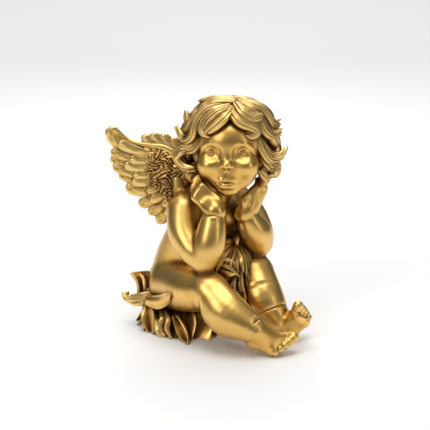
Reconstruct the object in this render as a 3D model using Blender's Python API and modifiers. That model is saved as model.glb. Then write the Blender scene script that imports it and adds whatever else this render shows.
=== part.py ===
"""Seated cherub figurine, one solid casting that stands on its draped seat and its heels.

The figure faces -Y, its left side is +X, and the origin is on the flat underside, below the hips.
All places and radii of the pose are in shares of the height: one unit is HEIGHT / POSE_UNITS.
"""

import math

import bmesh
import bpy
import numpy as np
from mathutils import Matrix, Vector
from mathutils.bvhtree import BVHTree

HEIGHT = 0.155
POSE_UNITS = 155.0
UNIT = HEIGHT / POSE_UNITS
TRIANGLES = 9700
FLESH_VOXEL = 0.9 * UNIT
CARVING_VOXEL = 0.62 * UNIT
FLESH_SMOOTHING = 9
CARVING_SMOOTHING = 2
FLAT_BAND = 0.06 * UNIT
UNTANGLE_ROUNDS = 60
BALL_ROUNDS = 3

# The heap of cloth that the figure sits on, in pose units
SEAT_CENTRE = (-2.0, -5.5)
SEAT_RADIUS = 35.0
SEAT_TOP = 20.0
SEAT_PLEATS = 13
PLEAT_DEPTH = 4.0
SEAT_LEAVES = 13

# The head: where it is, how far it turns to the figure's right, and how far it looks up
HEAD_CENTRE = (5.0, -36.5, 118.0)
HEAD_TURN = -45.0
HEAD_TILT = 5.0
SCALP = (25.5, 26.5, 25.5)
SCALP_CENTRE = (0.0, -3.5, 6.5)

# A wing: its root on the back, the angle it sweeps back from straight behind, and its fan of feathers
WING_ROOT = (10.0, 0.0, 92.0)
WING_SWEEP = 45.0
WING_BOW = 0.0008
FAN_CENTRE = (-6.0, 5.0)
FAN_ANGLES = (34.0, -57.0)
FAN_LONGEST = 61.0
FAN_SHORTEST = 36.0
PRIMARY_FEATHERS = 8
FEATHER_HALF_WIDTH = 4.9
FEATHER_HALF_THICKNESS = 1.0

GOLD = (0.80, 0.58, 0.22, 1.0)

# Limbs are chains of balls, each ball given as x, y, z and radius in pose units
BACK_AND_CHEST = (
    ((-8, 3, 32, 15.6), (-5.5, 0, 46, 14.8), (-3.5, -9, 64, 14.5), (-5, -17, 79, 12.5)),
    ((9, 3, 32, 16.5), (14, -5, 47, 17.6), (16.5, -13, 62, 17), (14, -19, 79, 12.5)),
    ((0, 4, 32, 17), (2.5, -0.5, 46, 18.2), (4.5, -9, 64, 17), (4, -17, 79, 13)),
)
SHOULDERS = ((-15, -19, 83, 10), (3, -19, 85, 12), (21, -19, 82, 10))
NECK = ((4, -22, 88, 11), (4.5, -30, 100, 11))
BELLY = (3, -13, 48, 17)
SHOULDER_BLADES = (
    ((-5, -13, 80, 9), (-7.5, -4, 88, 6), (-9, -2, 98, 4.5)),
    ((11, -13, 80, 9), (9.5, -4, 88, 6), (9, -2, 98, 4.5)),
)
BUTTOCK = (11, 10, 27, 14.5)
ARMS = (
    ((-20, -20, 83, 10.2), (-25.5, -27, 71, 9.8), (-26.5, -37, 61.5, 8.9), (-24.3, -43, 57.4, 8.8)),
    ((-24, -44.5, 56.8, 9), (-21.5, -46.5, 66, 10), (-18.5, -46, 77, 8.6), (-16.3, -44.6, 85, 6)),
    ((26, -20, 82, 10.5), (31.5, -28, 72, 10.4), (30.5, -37, 62.5, 9.6), (25.5, -42, 58.8, 9.6)),
    ((24.6, -42.5, 58.6, 9.8), (20.6, -45, 65, 10.6), (15.6, -44.7, 73, 8.4), (12.9, -44, 79, 6)),
)
LEGS = (
    ((-13, -2, 27, 16), (-20, -26, 32, 14.8), (-22, -46, 36, 12.6)),
    ((-22, -50, 35.5, 12), (-20.3, -61, 24.5, 14), (-16, -73, 19.5, 10.4), (-13.5, -79.5, 16.5, 7.8)),
    ((15, -2, 27, 16), (20.5, -26, 35, 15.2), (21.5, -41.5, 37.4, 13.4)),
    ((21.5, -45, 37, 12.4), (18, -54, 24.8, 13.8), (18.8, -62, 17, 10.4), (19.5, -66, 12.5, 8.6)),
)


def head_axes():
    """The head's left, forward and up directions."""
    turn, tilt = math.radians(HEAD_TURN), math.radians(HEAD_TILT)
    forward = Vector((math.sin(turn) * math.cos(tilt), -math.cos(turn) * math.cos(tilt), math.sin(tilt)))
    left = Vector((math.cos(turn), math.sin(turn), 0.0))
    return left, forward, forward.cross(left)


HEAD_AXES = head_axes()


def on_head(x, y, z):
    """A point given in the head's own left, forward and up, in pose units."""
    left, forward, up = HEAD_AXES
    return Vector(HEAD_CENTRE) + left * x + forward * y + up * z


def ball(bm, centre, radii, axes=None):
    """A ball or, with three radii, an ellipsoid, turned to the axes given."""
    radii = (radii,) * 3 if isinstance(radii, (int, float)) else radii
    turn = Matrix.Identity(3) if axes is None else Matrix(axes).transposed()
    place = Matrix.Translation(Vector(centre)) @ turn.to_4x4() @ Matrix.Diagonal((*radii, 1.0))
    bmesh.ops.create_icosphere(bm, subdivisions=BALL_ROUNDS, radius=1.0, matrix=place)


def ball_points():
    """The corners of a ball of radius 1."""
    bm = bmesh.new()
    bmesh.ops.create_icosphere(bm, subdivisions=BALL_ROUNDS, radius=1.0)
    points = [vert.co.copy() for vert in bm.verts]
    bm.free()
    return points


BALL_POINTS = ball_points()


def bone(bm, first, second):
    """The hull of two balls, each given as x, y, z and radius."""
    made = []
    for x, y, z, radius in (first, second):
        made += [bm.verts.new(Vector((x, y, z)) + point * radius) for point in BALL_POINTS]
    hull = bmesh.ops.convex_hull(bm, input=made)
    inner = [item for item in hull["geom_interior"] if isinstance(item, bmesh.types.BMVert)]
    bmesh.ops.delete(bm, geom=inner, context="VERTS")


def limb(bm, stations):
    """A chain of hulls through balls given as x, y, z and radius."""
    for first, second in zip(stations, stations[1:]):
        bone(bm, first, second)


def strip(bm, centres, normals, half_widths, half_thicknesses, sides=8):
    """A flat-oval tube along a path, its thin side along the normals."""
    centres, normals = np.asarray(centres, float), np.asarray(normals, float)
    tangents = np.gradient(centres, axis=0)
    tangents /= np.linalg.norm(tangents, axis=1, keepdims=True)
    across = np.cross(tangents, normals)
    across /= np.linalg.norm(across, axis=1, keepdims=True)
    outward = np.cross(across, tangents)
    rings = []
    for centre, side, out, width, thickness in zip(centres, across, outward, half_widths, half_thicknesses):
        angles = np.arange(sides) * (2 * math.pi / sides)
        points = centre + np.outer(np.cos(angles) * width, side) + np.outer(np.sin(angles) * thickness, out)
        rings.append([bm.verts.new(point) for point in points])
    for near, far in zip(rings, rings[1:]):
        for i in range(sides):
            j = (i + 1) % sides
            bm.faces.new((near[i], near[j], far[j], far[i]))
    bm.faces.new(rings[0][::-1])
    bm.faces.new(rings[-1])


def smooth_path(points, count):
    """A Catmull-Rom curve through the points, as count evenly timed places."""
    points = np.asarray(points, float)
    padded = np.vstack([2 * points[0] - points[1], points, 2 * points[-1] - points[-2]])
    places = np.linspace(0, len(points) - 1, count)
    i = np.minimum(places.astype(int), len(points) - 2)
    t = (places - i)[:, None]
    a, b, c, d = (padded[i + k] for k in range(4))
    return 0.5 * (2 * b + (c - a) * t + (2 * a - 5 * b + 4 * c - d) * t**2 + (3 * b - a - 3 * c + d) * t**3)


def spindle(count, fullest=0.5, start=0.25, end=0.12):
    """Widths along a strip: start at the root, 1 at fullest, end at the tip."""
    t = np.linspace(0, 1, count)
    rise = start + (1 - start) * np.sin(np.clip(t / fullest, 0, 1) * math.pi / 2)
    fall = end + (1 - end) * np.cos(np.clip((t - fullest) / (1 - fullest), 0, 1) * math.pi / 2)
    return rise * fall


def flesh_of_body(bm):
    """Belly, chest, shoulders, neck, seat, arms and legs."""
    for chain in (*BACK_AND_CHEST, SHOULDERS, NECK, *SHOULDER_BLADES, *ARMS, *LEGS):
        limb(bm, chain)
    ball(bm, BELLY[:3], BELLY[3])
    for side in (-1, 1):
        ball(bm, (side * BUTTOCK[0], *BUTTOCK[1:3]), BUTTOCK[3])


def skull(bm):
    """The head without hair: brain case, forehead, jaw, cheeks and chin."""
    ball(bm, on_head(0, -3, 7), (22.5, 24, 24), HEAD_AXES)
    ball(bm, on_head(0, 3.5, -7), (18, 16.5, 16.5), HEAD_AXES)
    ball(bm, on_head(0, 8, 9.5), (16.5, 12.5, 13), HEAD_AXES)
    ball(bm, on_head(0, 13.5, -18.3), (6.4, 6, 5.2), HEAD_AXES)
    for side in (-1, 1):
        ball(bm, on_head(side * 9.9, 10.2, -7.8), (9.2, 9, 9.4), HEAD_AXES)


BROW_LINE = ((3.4, 19.3, 7.2), (9.5, 18.6, 10), (15.6, 13.6, 7.2))


def face_details(bm):
    """Brows, eyes, nose, lips and ears, as small forms set into the sockets of the skull."""
    for side in (-1, 1):
        ball(bm, on_head(side * 9.2, 15.6, 3.2), (4.0, 3.6, 3.3), HEAD_AXES)
        brow = [on_head(side * x, y, z) for x, y, z in BROW_LINE]
        strip(bm, smooth_path(brow, 7), [HEAD_AXES[1]] * 7, [1.5] * 7, [1.3] * 7)
        ball(bm, on_head(side * 20.5, -2, -3.5), (3, 4.6, 5.8), HEAD_AXES)
        ball(bm, on_head(side * 2.6, 20.6, -5.2), (2.0, 2.0, 1.8), HEAD_AXES)
    ball(bm, on_head(0, 22.4, -4.2), (2.8, 2.8, 2.5), HEAD_AXES)
    limb(bm, [(*on_head(0, 18.6, 5.5), 2.2), (*on_head(0, 20.8, -2.8), 2.2)])
    upper = [on_head(x, y, z) for x, y, z in ((-5.2, 17.6, -12.6), (-1.8, 20.4, -11.4), (0, 20.3, -11.9),
                                              (1.8, 20.4, -11.4), (5.2, 17.6, -12.6))]
    up = [HEAD_AXES[2]] * 11
    strip(bm, smooth_path(upper, 11), up, 1.7 * spindle(11, 0.5, 0.4, 0.4), 1.2 * spindle(11, 0.5, 0.5, 0.5))
    lower = [on_head(x, y, z) for x, y, z in ((-4.3, 17.4, -13.8), (0, 19.8, -15), (4.3, 17.4, -13.8))]
    strip(bm, smooth_path(lower, 11), up, 1.9 * spindle(11, 0.5, 0.4, 0.4), 1.5 * spindle(11, 0.5, 0.5, 0.5))


def hand(bm, wrist, knuckles, fingertips, thumb, spread):
    """A palm from the wrist to the knuckles, four fingers laid side by side along spread, and a thumb."""
    wrist, knuckles, fingertips = Vector(wrist), Vector(knuckles), Vector(fingertips)
    spread = Vector(spread).normalized()
    for share in (-1, -0.33, 0.33, 1):
        root = knuckles + spread * (4.3 * share)
        limb(bm, [(*wrist, 5.6), (*root, 3.5)])
        tip = fingertips + spread * (3.6 * share)
        middle = (root + tip) / 2 + (tip - root).cross(spread).normalized() * 0.8
        limb(bm, [(*root, 2.4), (*middle, 2.1), (*tip, 1.6)])
    limb(bm, [(*wrist, 4.2), (*thumb[0], 2.8), (*thumb[1], 1.9)])


def hands(bm):
    """Both hands, held against the cheeks."""
    hand(bm, (-16, -44, 88), (-19, -35, 97), (-15.8, -27, 104), ((-12.3, -45, 92.6), (-18.3, -36.5, 101.5)),
         (0.55, -0.21, 0.8))
    hand(bm, (12.9, -44, 81.5), (20, -46, 92), (24, -45.5, 101), ((8, -45.5, 88.5), (19, -46.5, 96.5)),
         (0.8, 0.15, -0.35))


def foot(bm, ankle, heel, ball_of_foot, width, toe_direction, big_toe_side, lift):
    """A foot from the ankle over the heel to the ball of the foot, with five toes."""
    ankle, heel, front = Vector(ankle), Vector(heel), Vector(ball_of_foot)
    across = Vector(width).normalized()
    ahead = Vector(toe_direction).normalized()
    limb(bm, [(*ankle, 6.8), (*heel, 6.0)])
    for share in (-1, 0, 1):
        limb(bm, [(*heel, 5.2), (*(front + across * (4.6 * share)), 4.3)])
        limb(bm, [(*ankle, 6.0), (*(front + across * (3.6 * share)), 4.0)])
    for i in range(5):
        share = (i - 2) / 2
        size = 2.9 - 0.28 * i
        root = front + across * (big_toe_side * -share * 6.6) + ahead * (1.5 - 0.5 * abs(share))
        tip = root + ahead * (5.6 - 0.55 * i) + Vector((0, 0, lift))
        limb(bm, [(*root, size * 0.85), (*tip, size)])


RIGHT_FOOT = {
    "ankle": (-13.5, -80, 16.5), "heel": (-12, -78.5, 10), "ball_of_foot": (-2, -87.5, 7),
    "width": (0.88, 0, 0.47), "toe_direction": (0.45, -0.88, -0.05), "big_toe_side": 1, "lift": 0.3,
}
LEFT_FOOT = {
    "ankle": (20.5, -67, 12), "heel": (25, -71.5, 5.4), "ball_of_foot": (27.3, -78.5, 14.5),
    "width": (0.8, 0.05, -0.6), "toe_direction": (0.35, -0.3, 0.88), "big_toe_side": -1, "lift": 0.2,
}


def feet(bm):
    """The right foot stretched out on its outer edge, and the left foot with its sole turned forward."""
    foot(bm, **RIGHT_FOOT)
    foot(bm, **LEFT_FOOT)


def scalp_point(side_angle, polar_angle, lift):
    """A point lift above the scalp; side angle runs from the face to the left ear, polar from the crown."""
    phi, theta = math.radians(side_angle), math.radians(polar_angle)
    direction = Vector((math.sin(theta) * math.sin(phi), math.sin(theta) * math.cos(phi), math.cos(theta)))
    reach = 1 / math.sqrt(sum((direction[i] / SCALP[i]) ** 2 for i in range(3)))
    place = Vector(SCALP_CENTRE) + direction * (reach + lift)
    return on_head(*place)


def lock(bm, start, end, half_width, lift=1.0, flare=4.0, swing=8.0, curl=0.0, count=12):
    """A lock of hair from start to end, both as side angle and polar angle.

    It swings sideways in one S, rises by flare at its free end, and its tip curls back up by curl degrees.
    """
    places = []
    for i in range(count):
        t = i / (count - 1)
        side = start[0] + (end[0] - start[0]) * t + swing * math.sin(2 * math.pi * t)
        polar = start[1] + (end[1] - start[1]) * t - curl * max(0.0, t - 0.65) ** 2 / 0.1225
        places.append(scalp_point(side, polar, lift + flare * t**2.5))
    centre = on_head(*SCALP_CENTRE)
    normals = [(place - centre).normalized() for place in places]
    thickness = 0.5 * half_width * spindle(count, 0.5, 0.6, 0.3)
    strip(bm, places, normals, half_width * spindle(count, 0.45, 0.5, 0.22), thickness)


# Locks that frame the face: half width, then places in the head's left, forward and up
FACE_LOCKS = (
    (4.4, (1, 12, 31), (-8, 17, 28), (-15, 15, 22), (-16.5, 15.5, 16), (-10.5, 18.5, 13.5)),
    (5.2, (-2, 4, 32.8), (-14, 6, 29.3), (-21, 8, 21), (-23.5, 7, 12.5), (-28.5, 5, 10.5), (-33.5, 3, 17.5)),
    (5.0, (-6, 0, 33), (-15, 2, 30), (-19, 4, 24), (-22, 3, 19), (-26, 2.5, 21.5), (-27.5, 2, 27.5)),
    (5.6, (5, -4, 33.4), (-8, -5, 34), (-19.5, -5, 32.4)),
    (4.8, (-17, 9, 11), (-22, 7, 5.5), (-29, 4, 4.5), (-33, 2, -2), (-28, 4, -7.5), (-21, 7.5, -8)),
    (4.2, (-20, 4, -6), (-25, 0, -12), (-22, -3, -19)),
    (4.0, (1, 12, 31), (5.5, 17, 24.5), (11, 17.5, 21), (16.5, 15, 18), (15.5, 16.5, 12.5),
     (10.5, 18.5, 13.5)),
    (5.2, (4, 8, 32.5), (13, 10, 30), (19, 9, 23.5), (22, 7, 17), (27, 4.5, 14), (32, 2, 17)),
    (5.6, (4, 2, 33.6), (15, 4, 31.5), (23, 3, 26.5), (26.5, 1, 20), (31, -1, 21)),
    (5.2, (17, 10, 14), (21, 8.5, 6), (26, 6, -0.5), (31.5, 3.5, 0), (35.5, 1, 5.5)),
    (4.8, (20, 7, 1), (26, 4, -5), (29.5, 1, -9.5), (26, 0, -15)),
    (4.2, (19, 4, -8), (23, 0, -14), (20, -3, -20)),
)


def hair(bm):
    """The hair mass, the locks that frame the face, and rows of locks round the back that flick out."""
    ball(bm, on_head(0, -5, 8.5), (25.2, 25.5, 24.5), HEAD_AXES)
    ball(bm, on_head(0, -1, 19.2), (22.5, 18, 14.3), HEAD_AXES)
    centre = on_head(*SCALP_CENTRE)
    for half_width, *points in FACE_LOCKS:
        path = smooth_path([on_head(*point) for point in points], 16)
        normals = [(Vector(place) - centre).normalized() for place in path]
        thickness = 0.5 * half_width * spindle(16, 0.5, 0.7, 0.4)
        strip(bm, path, normals, half_width * spindle(16, 0.45, 0.6, 0.35), thickness)
    tiers = ((7, 12, 60, 7.2, 5.0), (7, 38, 86, 6.8, 6.5), (8, 64, 110, 6.2, 6.5), (7, 92, 130, 5.0, 4.5))
    for tier, (count, first, last, width, flare) in enumerate(tiers):
        reach = 96 if tier < 3 else 88
        for i in range(count):
            side = 180 - reach + 2 * reach * (i + 0.5 * (tier % 2)) / (count - 0.5)
            lean = 9 if i % 2 else -9
            lock(bm, (side - lean, first), (side + lean, last), width, 1.6, flare, lean, 14 if i % 2 else 4)


def wing_frame(side):
    """The wing's outward, up and front directions; side is -1 for the right wing and 1 for the left."""
    sweep = math.radians(WING_SWEEP)
    outward = Vector((side * math.sin(sweep), math.cos(sweep), 0.0))
    front = Vector((side * math.cos(sweep), -math.sin(sweep), 0.0))
    return outward, Vector((0, 0, 1)), front


def on_wing(side, out, up, proud=0.0):
    """A point of a wing: out and up in its own plane, which bows backwards towards the tips."""
    outward, upward, front = wing_frame(side)
    bow = -WING_BOW * (max(out, 0.0) ** 2 + 0.5 * up**2)
    root = Vector((side * WING_ROOT[0], WING_ROOT[1], WING_ROOT[2]))
    return root + outward * out + upward * up + front * (proud + bow)


def feather(bm, side, angle, inner, outer, half_width, proud, flick=0.0, count=9):
    """One feather of the fan, from inner to outer reach along an angle, its tip flicked up."""
    centres = []
    for i in range(count):
        t = i / (count - 1)
        reach = inner + (outer - inner) * t
        turn = math.radians(angle + flick * (t - 0.5) ** 2)
        out = FAN_CENTRE[0] + reach * math.cos(turn)
        up = FAN_CENTRE[1] + reach * math.sin(turn)
        centres.append(on_wing(side, out, up, proud))
    front = wing_frame(side)[2]
    widths = half_width * spindle(count, 0.68, 0.55, 0.35)
    strip(bm, centres, [front] * count, widths, [FEATHER_HALF_THICKNESS] * count)


def fan_reach(share):
    """Length of the fan at share 0, its top edge, to 1, its bottom edge."""
    return FAN_SHORTEST + (FAN_LONGEST - FAN_SHORTEST) * (1 - share) ** 2.1


def on_arm(share):
    """A point of the wing's leading edge, out and up, from share 0 at the shoulder to 1 near the wrist."""
    return -4 + 31 * share, 22 + 9 * share


def wing(bm, side):
    """The arm of the wing, its core, the long feathers and three rows of coverts on each face."""
    arm = [(-7, -8), (-7, 8), (-3, 22), (7, 28.5), (19, 30), (30, 33), (37.5, 38.5), (42, 42.5)]
    path = smooth_path([on_wing(side, out, up) for out, up in arm], 22)
    front = wing_frame(side)[2]
    thick = np.interp(np.linspace(0, 1, 22), [0, 0.25, 0.6, 1], [4.8, 4.2, 2.4, 1.2])
    strip(bm, path, [front] * 22, thick, thick * 0.95)
    top, bottom = FAN_ANGLES
    for i in range(PRIMARY_FEATHERS):
        share = i / (PRIMARY_FEATHERS - 1)
        angle = top + (bottom - top) * share
        for face in (-0.5, 0.9):
            proud, flick = face + 0.25 * (i % 2), 22 * (1 - share)
            feather(bm, side, angle, 6, fan_reach(share), FEATHER_HALF_WIDTH, proud, flick)
    for row, (reach, half_width, proud) in enumerate(((0.76, 4.4, 2.1), (0.57, 4.0, 3.1), (0.4, 3.7, 3.9))):
        number = PRIMARY_FEATHERS - row
        for i in range(number):
            share = (i + 0.5 * (row % 2) + 0.1) / number
            angle = top + (bottom - top) * share
            outer = fan_reach(share) * reach
            for face in (-1, 1):
                feather(bm, side, angle, 3, outer, half_width, face * proud, 6)
    for row, (length, proud) in enumerate(((17, 1.6), (10, 3.0))):
        for i in range(6):
            start = on_arm(i / 5.5 + 0.08 * row)
            lean = math.radians(-52 + 9 * i)
            ahead = (length * math.cos(lean), length * math.sin(lean))
            path = [(start[0] + ahead[0] * t, start[1] + ahead[1] * t) for t in (0, 0.5, 1)]
            for face in (-1, 1):
                centres = smooth_path([on_wing(side, out, up, face * proud) for out, up in path], 7)
                strip(bm, centres, [front] * 7, 3.6 * spindle(7, 0.6, 0.6, 0.35), [1.1] * 7)
    for i in range(4):
        x0, z0 = -5 + 5.6 * i, 21 + 1.9 * i
        ruffle = ((x0, z0), (x0 + 1, z0 + 8), (x0 + 7, z0 + 10.5))
        path = [on_wing(side, out, up, -3.0) for out, up in ruffle]
        strip(bm, smooth_path(path, 9), [front] * 9, 4.2 * spindle(9, 0.6, 0.6, 0.4), [1.2] * 9)


def wings(bm):
    """The right and the left wing."""
    for side in (-1, 1):
        wing(bm, side)


def mound(bm, centre, radius, top, pleats, depth, rows=12, columns=130):
    """A heap of cloth: pleats run down from its top, swirl, deepen and spread towards the ground."""
    rings = []
    for row in range(1, rows + 1):
        t = row / rows
        ring = []
        for column in range(columns):
            angle = 2 * math.pi * column / columns
            fold = angle * pleats + 2.6 * t + 1.3 * math.sin(2 * angle) + 0.8 * math.sin(5 * angle + 2)
            ridge = abs(math.sin(fold / 2)) ** 0.8 - 0.6
            reach = radius * (0.35 + 0.65 * t) + depth * 1.7 * ridge * t**1.5 + 1.8 * math.sin(3 * angle + 1)
            height = top * (1 - t**1.9) + depth * 0.8 * ridge * math.sin(math.pi * min(1.0, t * 1.05))
            place = (centre[0] + reach * math.cos(angle), centre[1] + reach * math.sin(angle), height)
            ring.append(bm.verts.new(place))
        rings.append(ring)
    lowest = [bm.verts.new((vert.co.x, vert.co.y, -2.0)) for vert in rings[-1]]
    rings.append(lowest)
    for near, far in zip(rings, rings[1:]):
        for i in range(columns):
            j = (i + 1) % columns
            bm.faces.new((near[i], far[i], far[j], near[j]))
    bm.faces.new(rings[0])
    bm.faces.new(lowest[::-1])


def seat(bm):
    """The cloth heap under the figure, with pointed leaf-like folds that run out over the ground."""
    mound(bm, SEAT_CENTRE, SEAT_RADIUS, SEAT_TOP, SEAT_PLEATS, PLEAT_DEPTH)
    x0, y0 = SEAT_CENTRE
    for i in range(SEAT_LEAVES):
        turn = 2 * math.pi * (i + 0.3 * math.sin(3.7 * i)) / SEAT_LEAVES
        swirl = math.radians(34 if i % 3 else -22)
        reach = SEAT_RADIUS + (7 if i % 2 else 3.5) + 2 * math.sin(2.3 * i)
        path = []
        for t in np.linspace(0, 1, 9):
            angle = turn + swirl * t
            radius = 22 + (reach - 22) * t
            height = (SEAT_TOP + 1) * (1 - t) ** 0.8 + 1.4 + 2.4 * math.sin(2 * math.pi * t)
            path.append((x0 + radius * math.cos(angle), y0 + radius * math.sin(angle), max(height, 1.4)))
        normals = [(math.cos(turn) * 0.8, math.sin(turn) * 0.8, 0.8)] * 9
        widths = (6.4 - i % 2) * spindle(9, 0.5, 0.45, 0.15)
        strip(bm, path, normals, widths, 2.2 * spindle(9, 0.5, 0.6, 0.5))


def folds(bm, ends, half_width, half_thickness, count=12):
    """Bunched cloth: one rounded fold along each list of points."""
    for points in ends:
        path = smooth_path(points, count)
        outward = Vector((0, -0.75, 0.65))
        strip(bm, path, [outward] * count, half_width * spindle(count, 0.45, 0.55, 0.45),
              half_thickness * spindle(count, 0.5, 0.6, 0.5))


def sash(bm):
    """The cloth band round the hips with its loose ends, and the knot and folds gathered in the lap."""
    for row in range(3):
        low = 4.2 * row
        wave = 1.5 * math.sin(2.1 * row)
        band = [(-20, -21, 40 - low), (-27, -11, 31 - low), (-29.5, 0, 26 - low), (-28, 12 + wave, 23 - low),
                (-17, 24, 24 + wave - low), (0, 26.5, 25 - low), (17, 24.5, 24 - wave - low),
                (28, 12, 24 - low), (31, -2, 25 - low), (30, -14, 29 - low)]
        path = smooth_path(band, 40)
        outward = [(x, y, 12.0) for x, y, z in path]
        strip(bm, path, outward, [3.0] * 40, [2.3 - 0.3 * row] * 40)
    loose_end = smooth_path([(-25, 8, 20), (-29, 16, 18.5), (-32, 22, 17), (-35, 24, 20)], 10)
    strip(bm, loose_end, [(-0.5, -0.4, 0.8)] * 10, 5.0 * spindle(10, 0.4, 0.6, 0.4), [1.8] * 10)
    curl = smooth_path([(-28, 8, 20), (-29, 14, 21), (-27, 18, 26), (-25.5, 19, 33)], 10)
    strip(bm, curl, [(-0.7, -0.7, 0.2)] * 10, np.linspace(3, 6.5, 10), [1.7] * 10)
    hem = smooth_path([(-29, 21, 35), (-25, 17.5, 33), (-21, 16, 35.5), (-16, 13, 33)], 10)
    strip(bm, hem, [(0, 0, 1)] * 10, [2.4] * 10, [1.6] * 10)

    ball(bm, (4, -31, 39), (18, 17, 15))
    lap = [[(8, -34, 60), (-3, -33, 58), (-13, -31, 54), (-19, -30, 47)],
           [(8, -35, 60), (-3, -37, 56), (-12, -38, 50), (-17, -38, 45)],
           [(8, -35, 60), (-1, -40, 53), (-8, -44, 46), (-10, -46, 36)],
           [(8, -36, 60), (2, -42, 51), (-2, -48, 41), (-3, -50, 28), (-5, -49, 16)],
           [(8, -36, 60), (5, -43, 51), (3, -49, 41), (4, -52, 28), (2, -52, 14)],
           [(8, -36, 60), (9, -43, 51), (9, -49, 41), (8, -52, 27), (10, -50, 15)],
           [(8, -36, 60), (13, -41, 53), (15, -44, 44), (13, -48, 33), (15, -47, 22)],
           [(8, -34, 60), (14, -36, 55), (20, -36, 50), (23, -33, 47)]]
    folds(bm, lap, 3.7, 2.6)
    tails = [[(9, -36, 60), (14, -41, 56), (18, -44, 50), (17, -44, 43)],
             [(9, -36, 61), (10, -43, 56), (13, -48, 49)]]
    folds(bm, tails, 2.8, 1.9)
    ball(bm, (8, -36, 61), (4, 3.8, 4.2))


def to_mesh(name, *builders):
    """One mesh from shape functions, scaled from pose units to metres."""
    bm = bmesh.new()
    for build in builders:
        build(bm)
    bmesh.ops.recalc_face_normals(bm, faces=bm.faces[:])
    bmesh.ops.scale(bm, vec=(UNIT,) * 3, verts=bm.verts[:])
    mesh = bpy.data.meshes.new(name)
    bm.to_mesh(mesh)
    bm.free()
    return mesh


def fused(mesh, voxel, smoothing):
    """The mesh's overlapping shapes as one skin, softened where they meet."""
    body = bpy.data.objects.new("shape_in_work", mesh)
    bpy.context.scene.collection.objects.link(body)
    remesh = body.modifiers.new("fuse", "REMESH")
    remesh.mode = "VOXEL"
    remesh.voxel_size = voxel
    smooth = body.modifiers.new("soften", "SMOOTH")
    smooth.factor = 0.5
    smooth.iterations = smoothing
    evaluated = body.evaluated_get(bpy.context.evaluated_depsgraph_get())
    result = bpy.data.meshes.new_from_object(evaluated)
    bpy.data.objects.remove(body)
    return result


def joined(*meshes):
    """Several meshes as one."""
    bm = bmesh.new()
    for mesh in meshes:
        bm.from_mesh(mesh)
    result = bpy.data.meshes.new("joined")
    bm.to_mesh(result)
    bm.free()
    return result


def press(mesh, strokes):
    """Sculpts the skin: each stroke pushes it by a bell-shaped amount round a point."""
    places = np.empty(len(mesh.vertices) * 3, np.float32)
    mesh.vertices.foreach_get("co", places)
    places = places.reshape(-1, 3)
    for centre, push, radius in strokes:
        away = np.linalg.norm(places - np.array(centre) * UNIT, axis=1) / (radius * UNIT)
        places += np.outer(np.exp(-(away**2)), np.array(push) * UNIT).astype(np.float32)
    mesh.vertices.foreach_set("co", places.ravel())
    mesh.update()


def eye_sockets():
    """Strokes that hollow the sockets and the corners of the mouth."""
    forward = HEAD_AXES[1]
    strokes = []
    for side in (-1, 1):
        strokes.append((on_head(side * 9.2, 19, 3.4), forward * -3.4, 4.8))
        strokes.append((on_head(side * 6.6, 18, -12.8), forward * -0.8, 2.2))
    return strokes


def outer_skin(mesh):
    """Only the largest connected skin: closed pockets inside the casting are filled."""
    bm = bmesh.new()
    bm.from_mesh(mesh)
    left = set(bm.verts)
    largest = set()
    while left:
        island, front = set(), [left.pop()]
        while front:
            vert = front.pop()
            island.add(vert)
            for edge in vert.link_edges:
                other = edge.other_vert(vert)
                if other in left:
                    left.discard(other)
                    front.append(other)
        if len(island) > len(largest):
            largest = island
    bmesh.ops.delete(bm, geom=[vert for vert in bm.verts if vert not in largest], context="VERTS")
    bm.to_mesh(mesh)
    bm.free()


def cut_flat(mesh):
    """Cuts the casting level with the ground and closes the cut, so that it stands on a flat underside."""
    bm = bmesh.new()
    bm.from_mesh(mesh)
    geometry = bm.verts[:] + bm.edges[:] + bm.faces[:]
    bmesh.ops.bisect_plane(bm, geom=geometry, plane_co=(0, 0, 0), plane_no=(0, 0, 1), clear_inner=True)
    rim = [edge for edge in bm.edges if len(edge.link_faces) == 1]
    bmesh.ops.triangle_fill(bm, edges=rim, use_beauty=True, normal=(0, 0, -1))
    bmesh.ops.recalc_face_normals(bm, faces=bm.faces[:])
    bm.to_mesh(mesh)
    bm.free()


def thinned(mesh, triangles):
    """The mesh with fewer, larger triangles."""
    body = bpy.data.objects.new("shape_in_work", mesh)
    bpy.context.scene.collection.objects.link(body)
    thin_out = body.modifiers.new("thin_out", "DECIMATE")
    thin_out.ratio = triangles / sum(len(face.vertices) - 2 for face in mesh.polygons)
    evaluated = body.evaluated_get(bpy.context.evaluated_depsgraph_get())
    result = bpy.data.meshes.new_from_object(evaluated)
    bpy.data.objects.remove(body)
    return result


def untangle(mesh):
    """Relaxes the corners of triangles that cross each other, and levels the underside."""
    bm = bmesh.new()
    bm.from_mesh(mesh)
    bmesh.ops.triangulate(bm, faces=bm.faces[:])
    for vert in bm.verts:
        if vert.co.z < FLAT_BAND:
            vert.co.z = 0.0
    for _ in range(UNTANGLE_ROUNDS):
        bm.faces.ensure_lookup_table()
        tree = BVHTree.FromBMesh(bm)
        crossing = tree.overlap(tree)
        if not crossing:
            break
        moved = {vert for pair in crossing for index in pair for vert in bm.faces[index].verts}
        targets = []
        for vert in moved:
            near = [edge.other_vert(vert).co for edge in vert.link_edges]
            targets.append((vert, sum(near, Vector()) / len(near)))
        for vert, target in targets:
            level = vert.co.z == 0.0
            vert.co = vert.co.lerp(target, 0.5)
            if level:
                vert.co.z = 0.0
    bm.to_mesh(mesh)
    bm.free()


def gold_paint():
    """Satin gold paint over the casting."""
    material = bpy.data.materials.new("gold_paint")
    material.use_nodes = True
    shader = material.node_tree.nodes["Principled BSDF"]
    shader.inputs["Base Color"].default_value = GOLD
    shader.inputs["Metallic"].default_value = 1.0
    shader.inputs["Roughness"].default_value = 0.34
    return material


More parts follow.
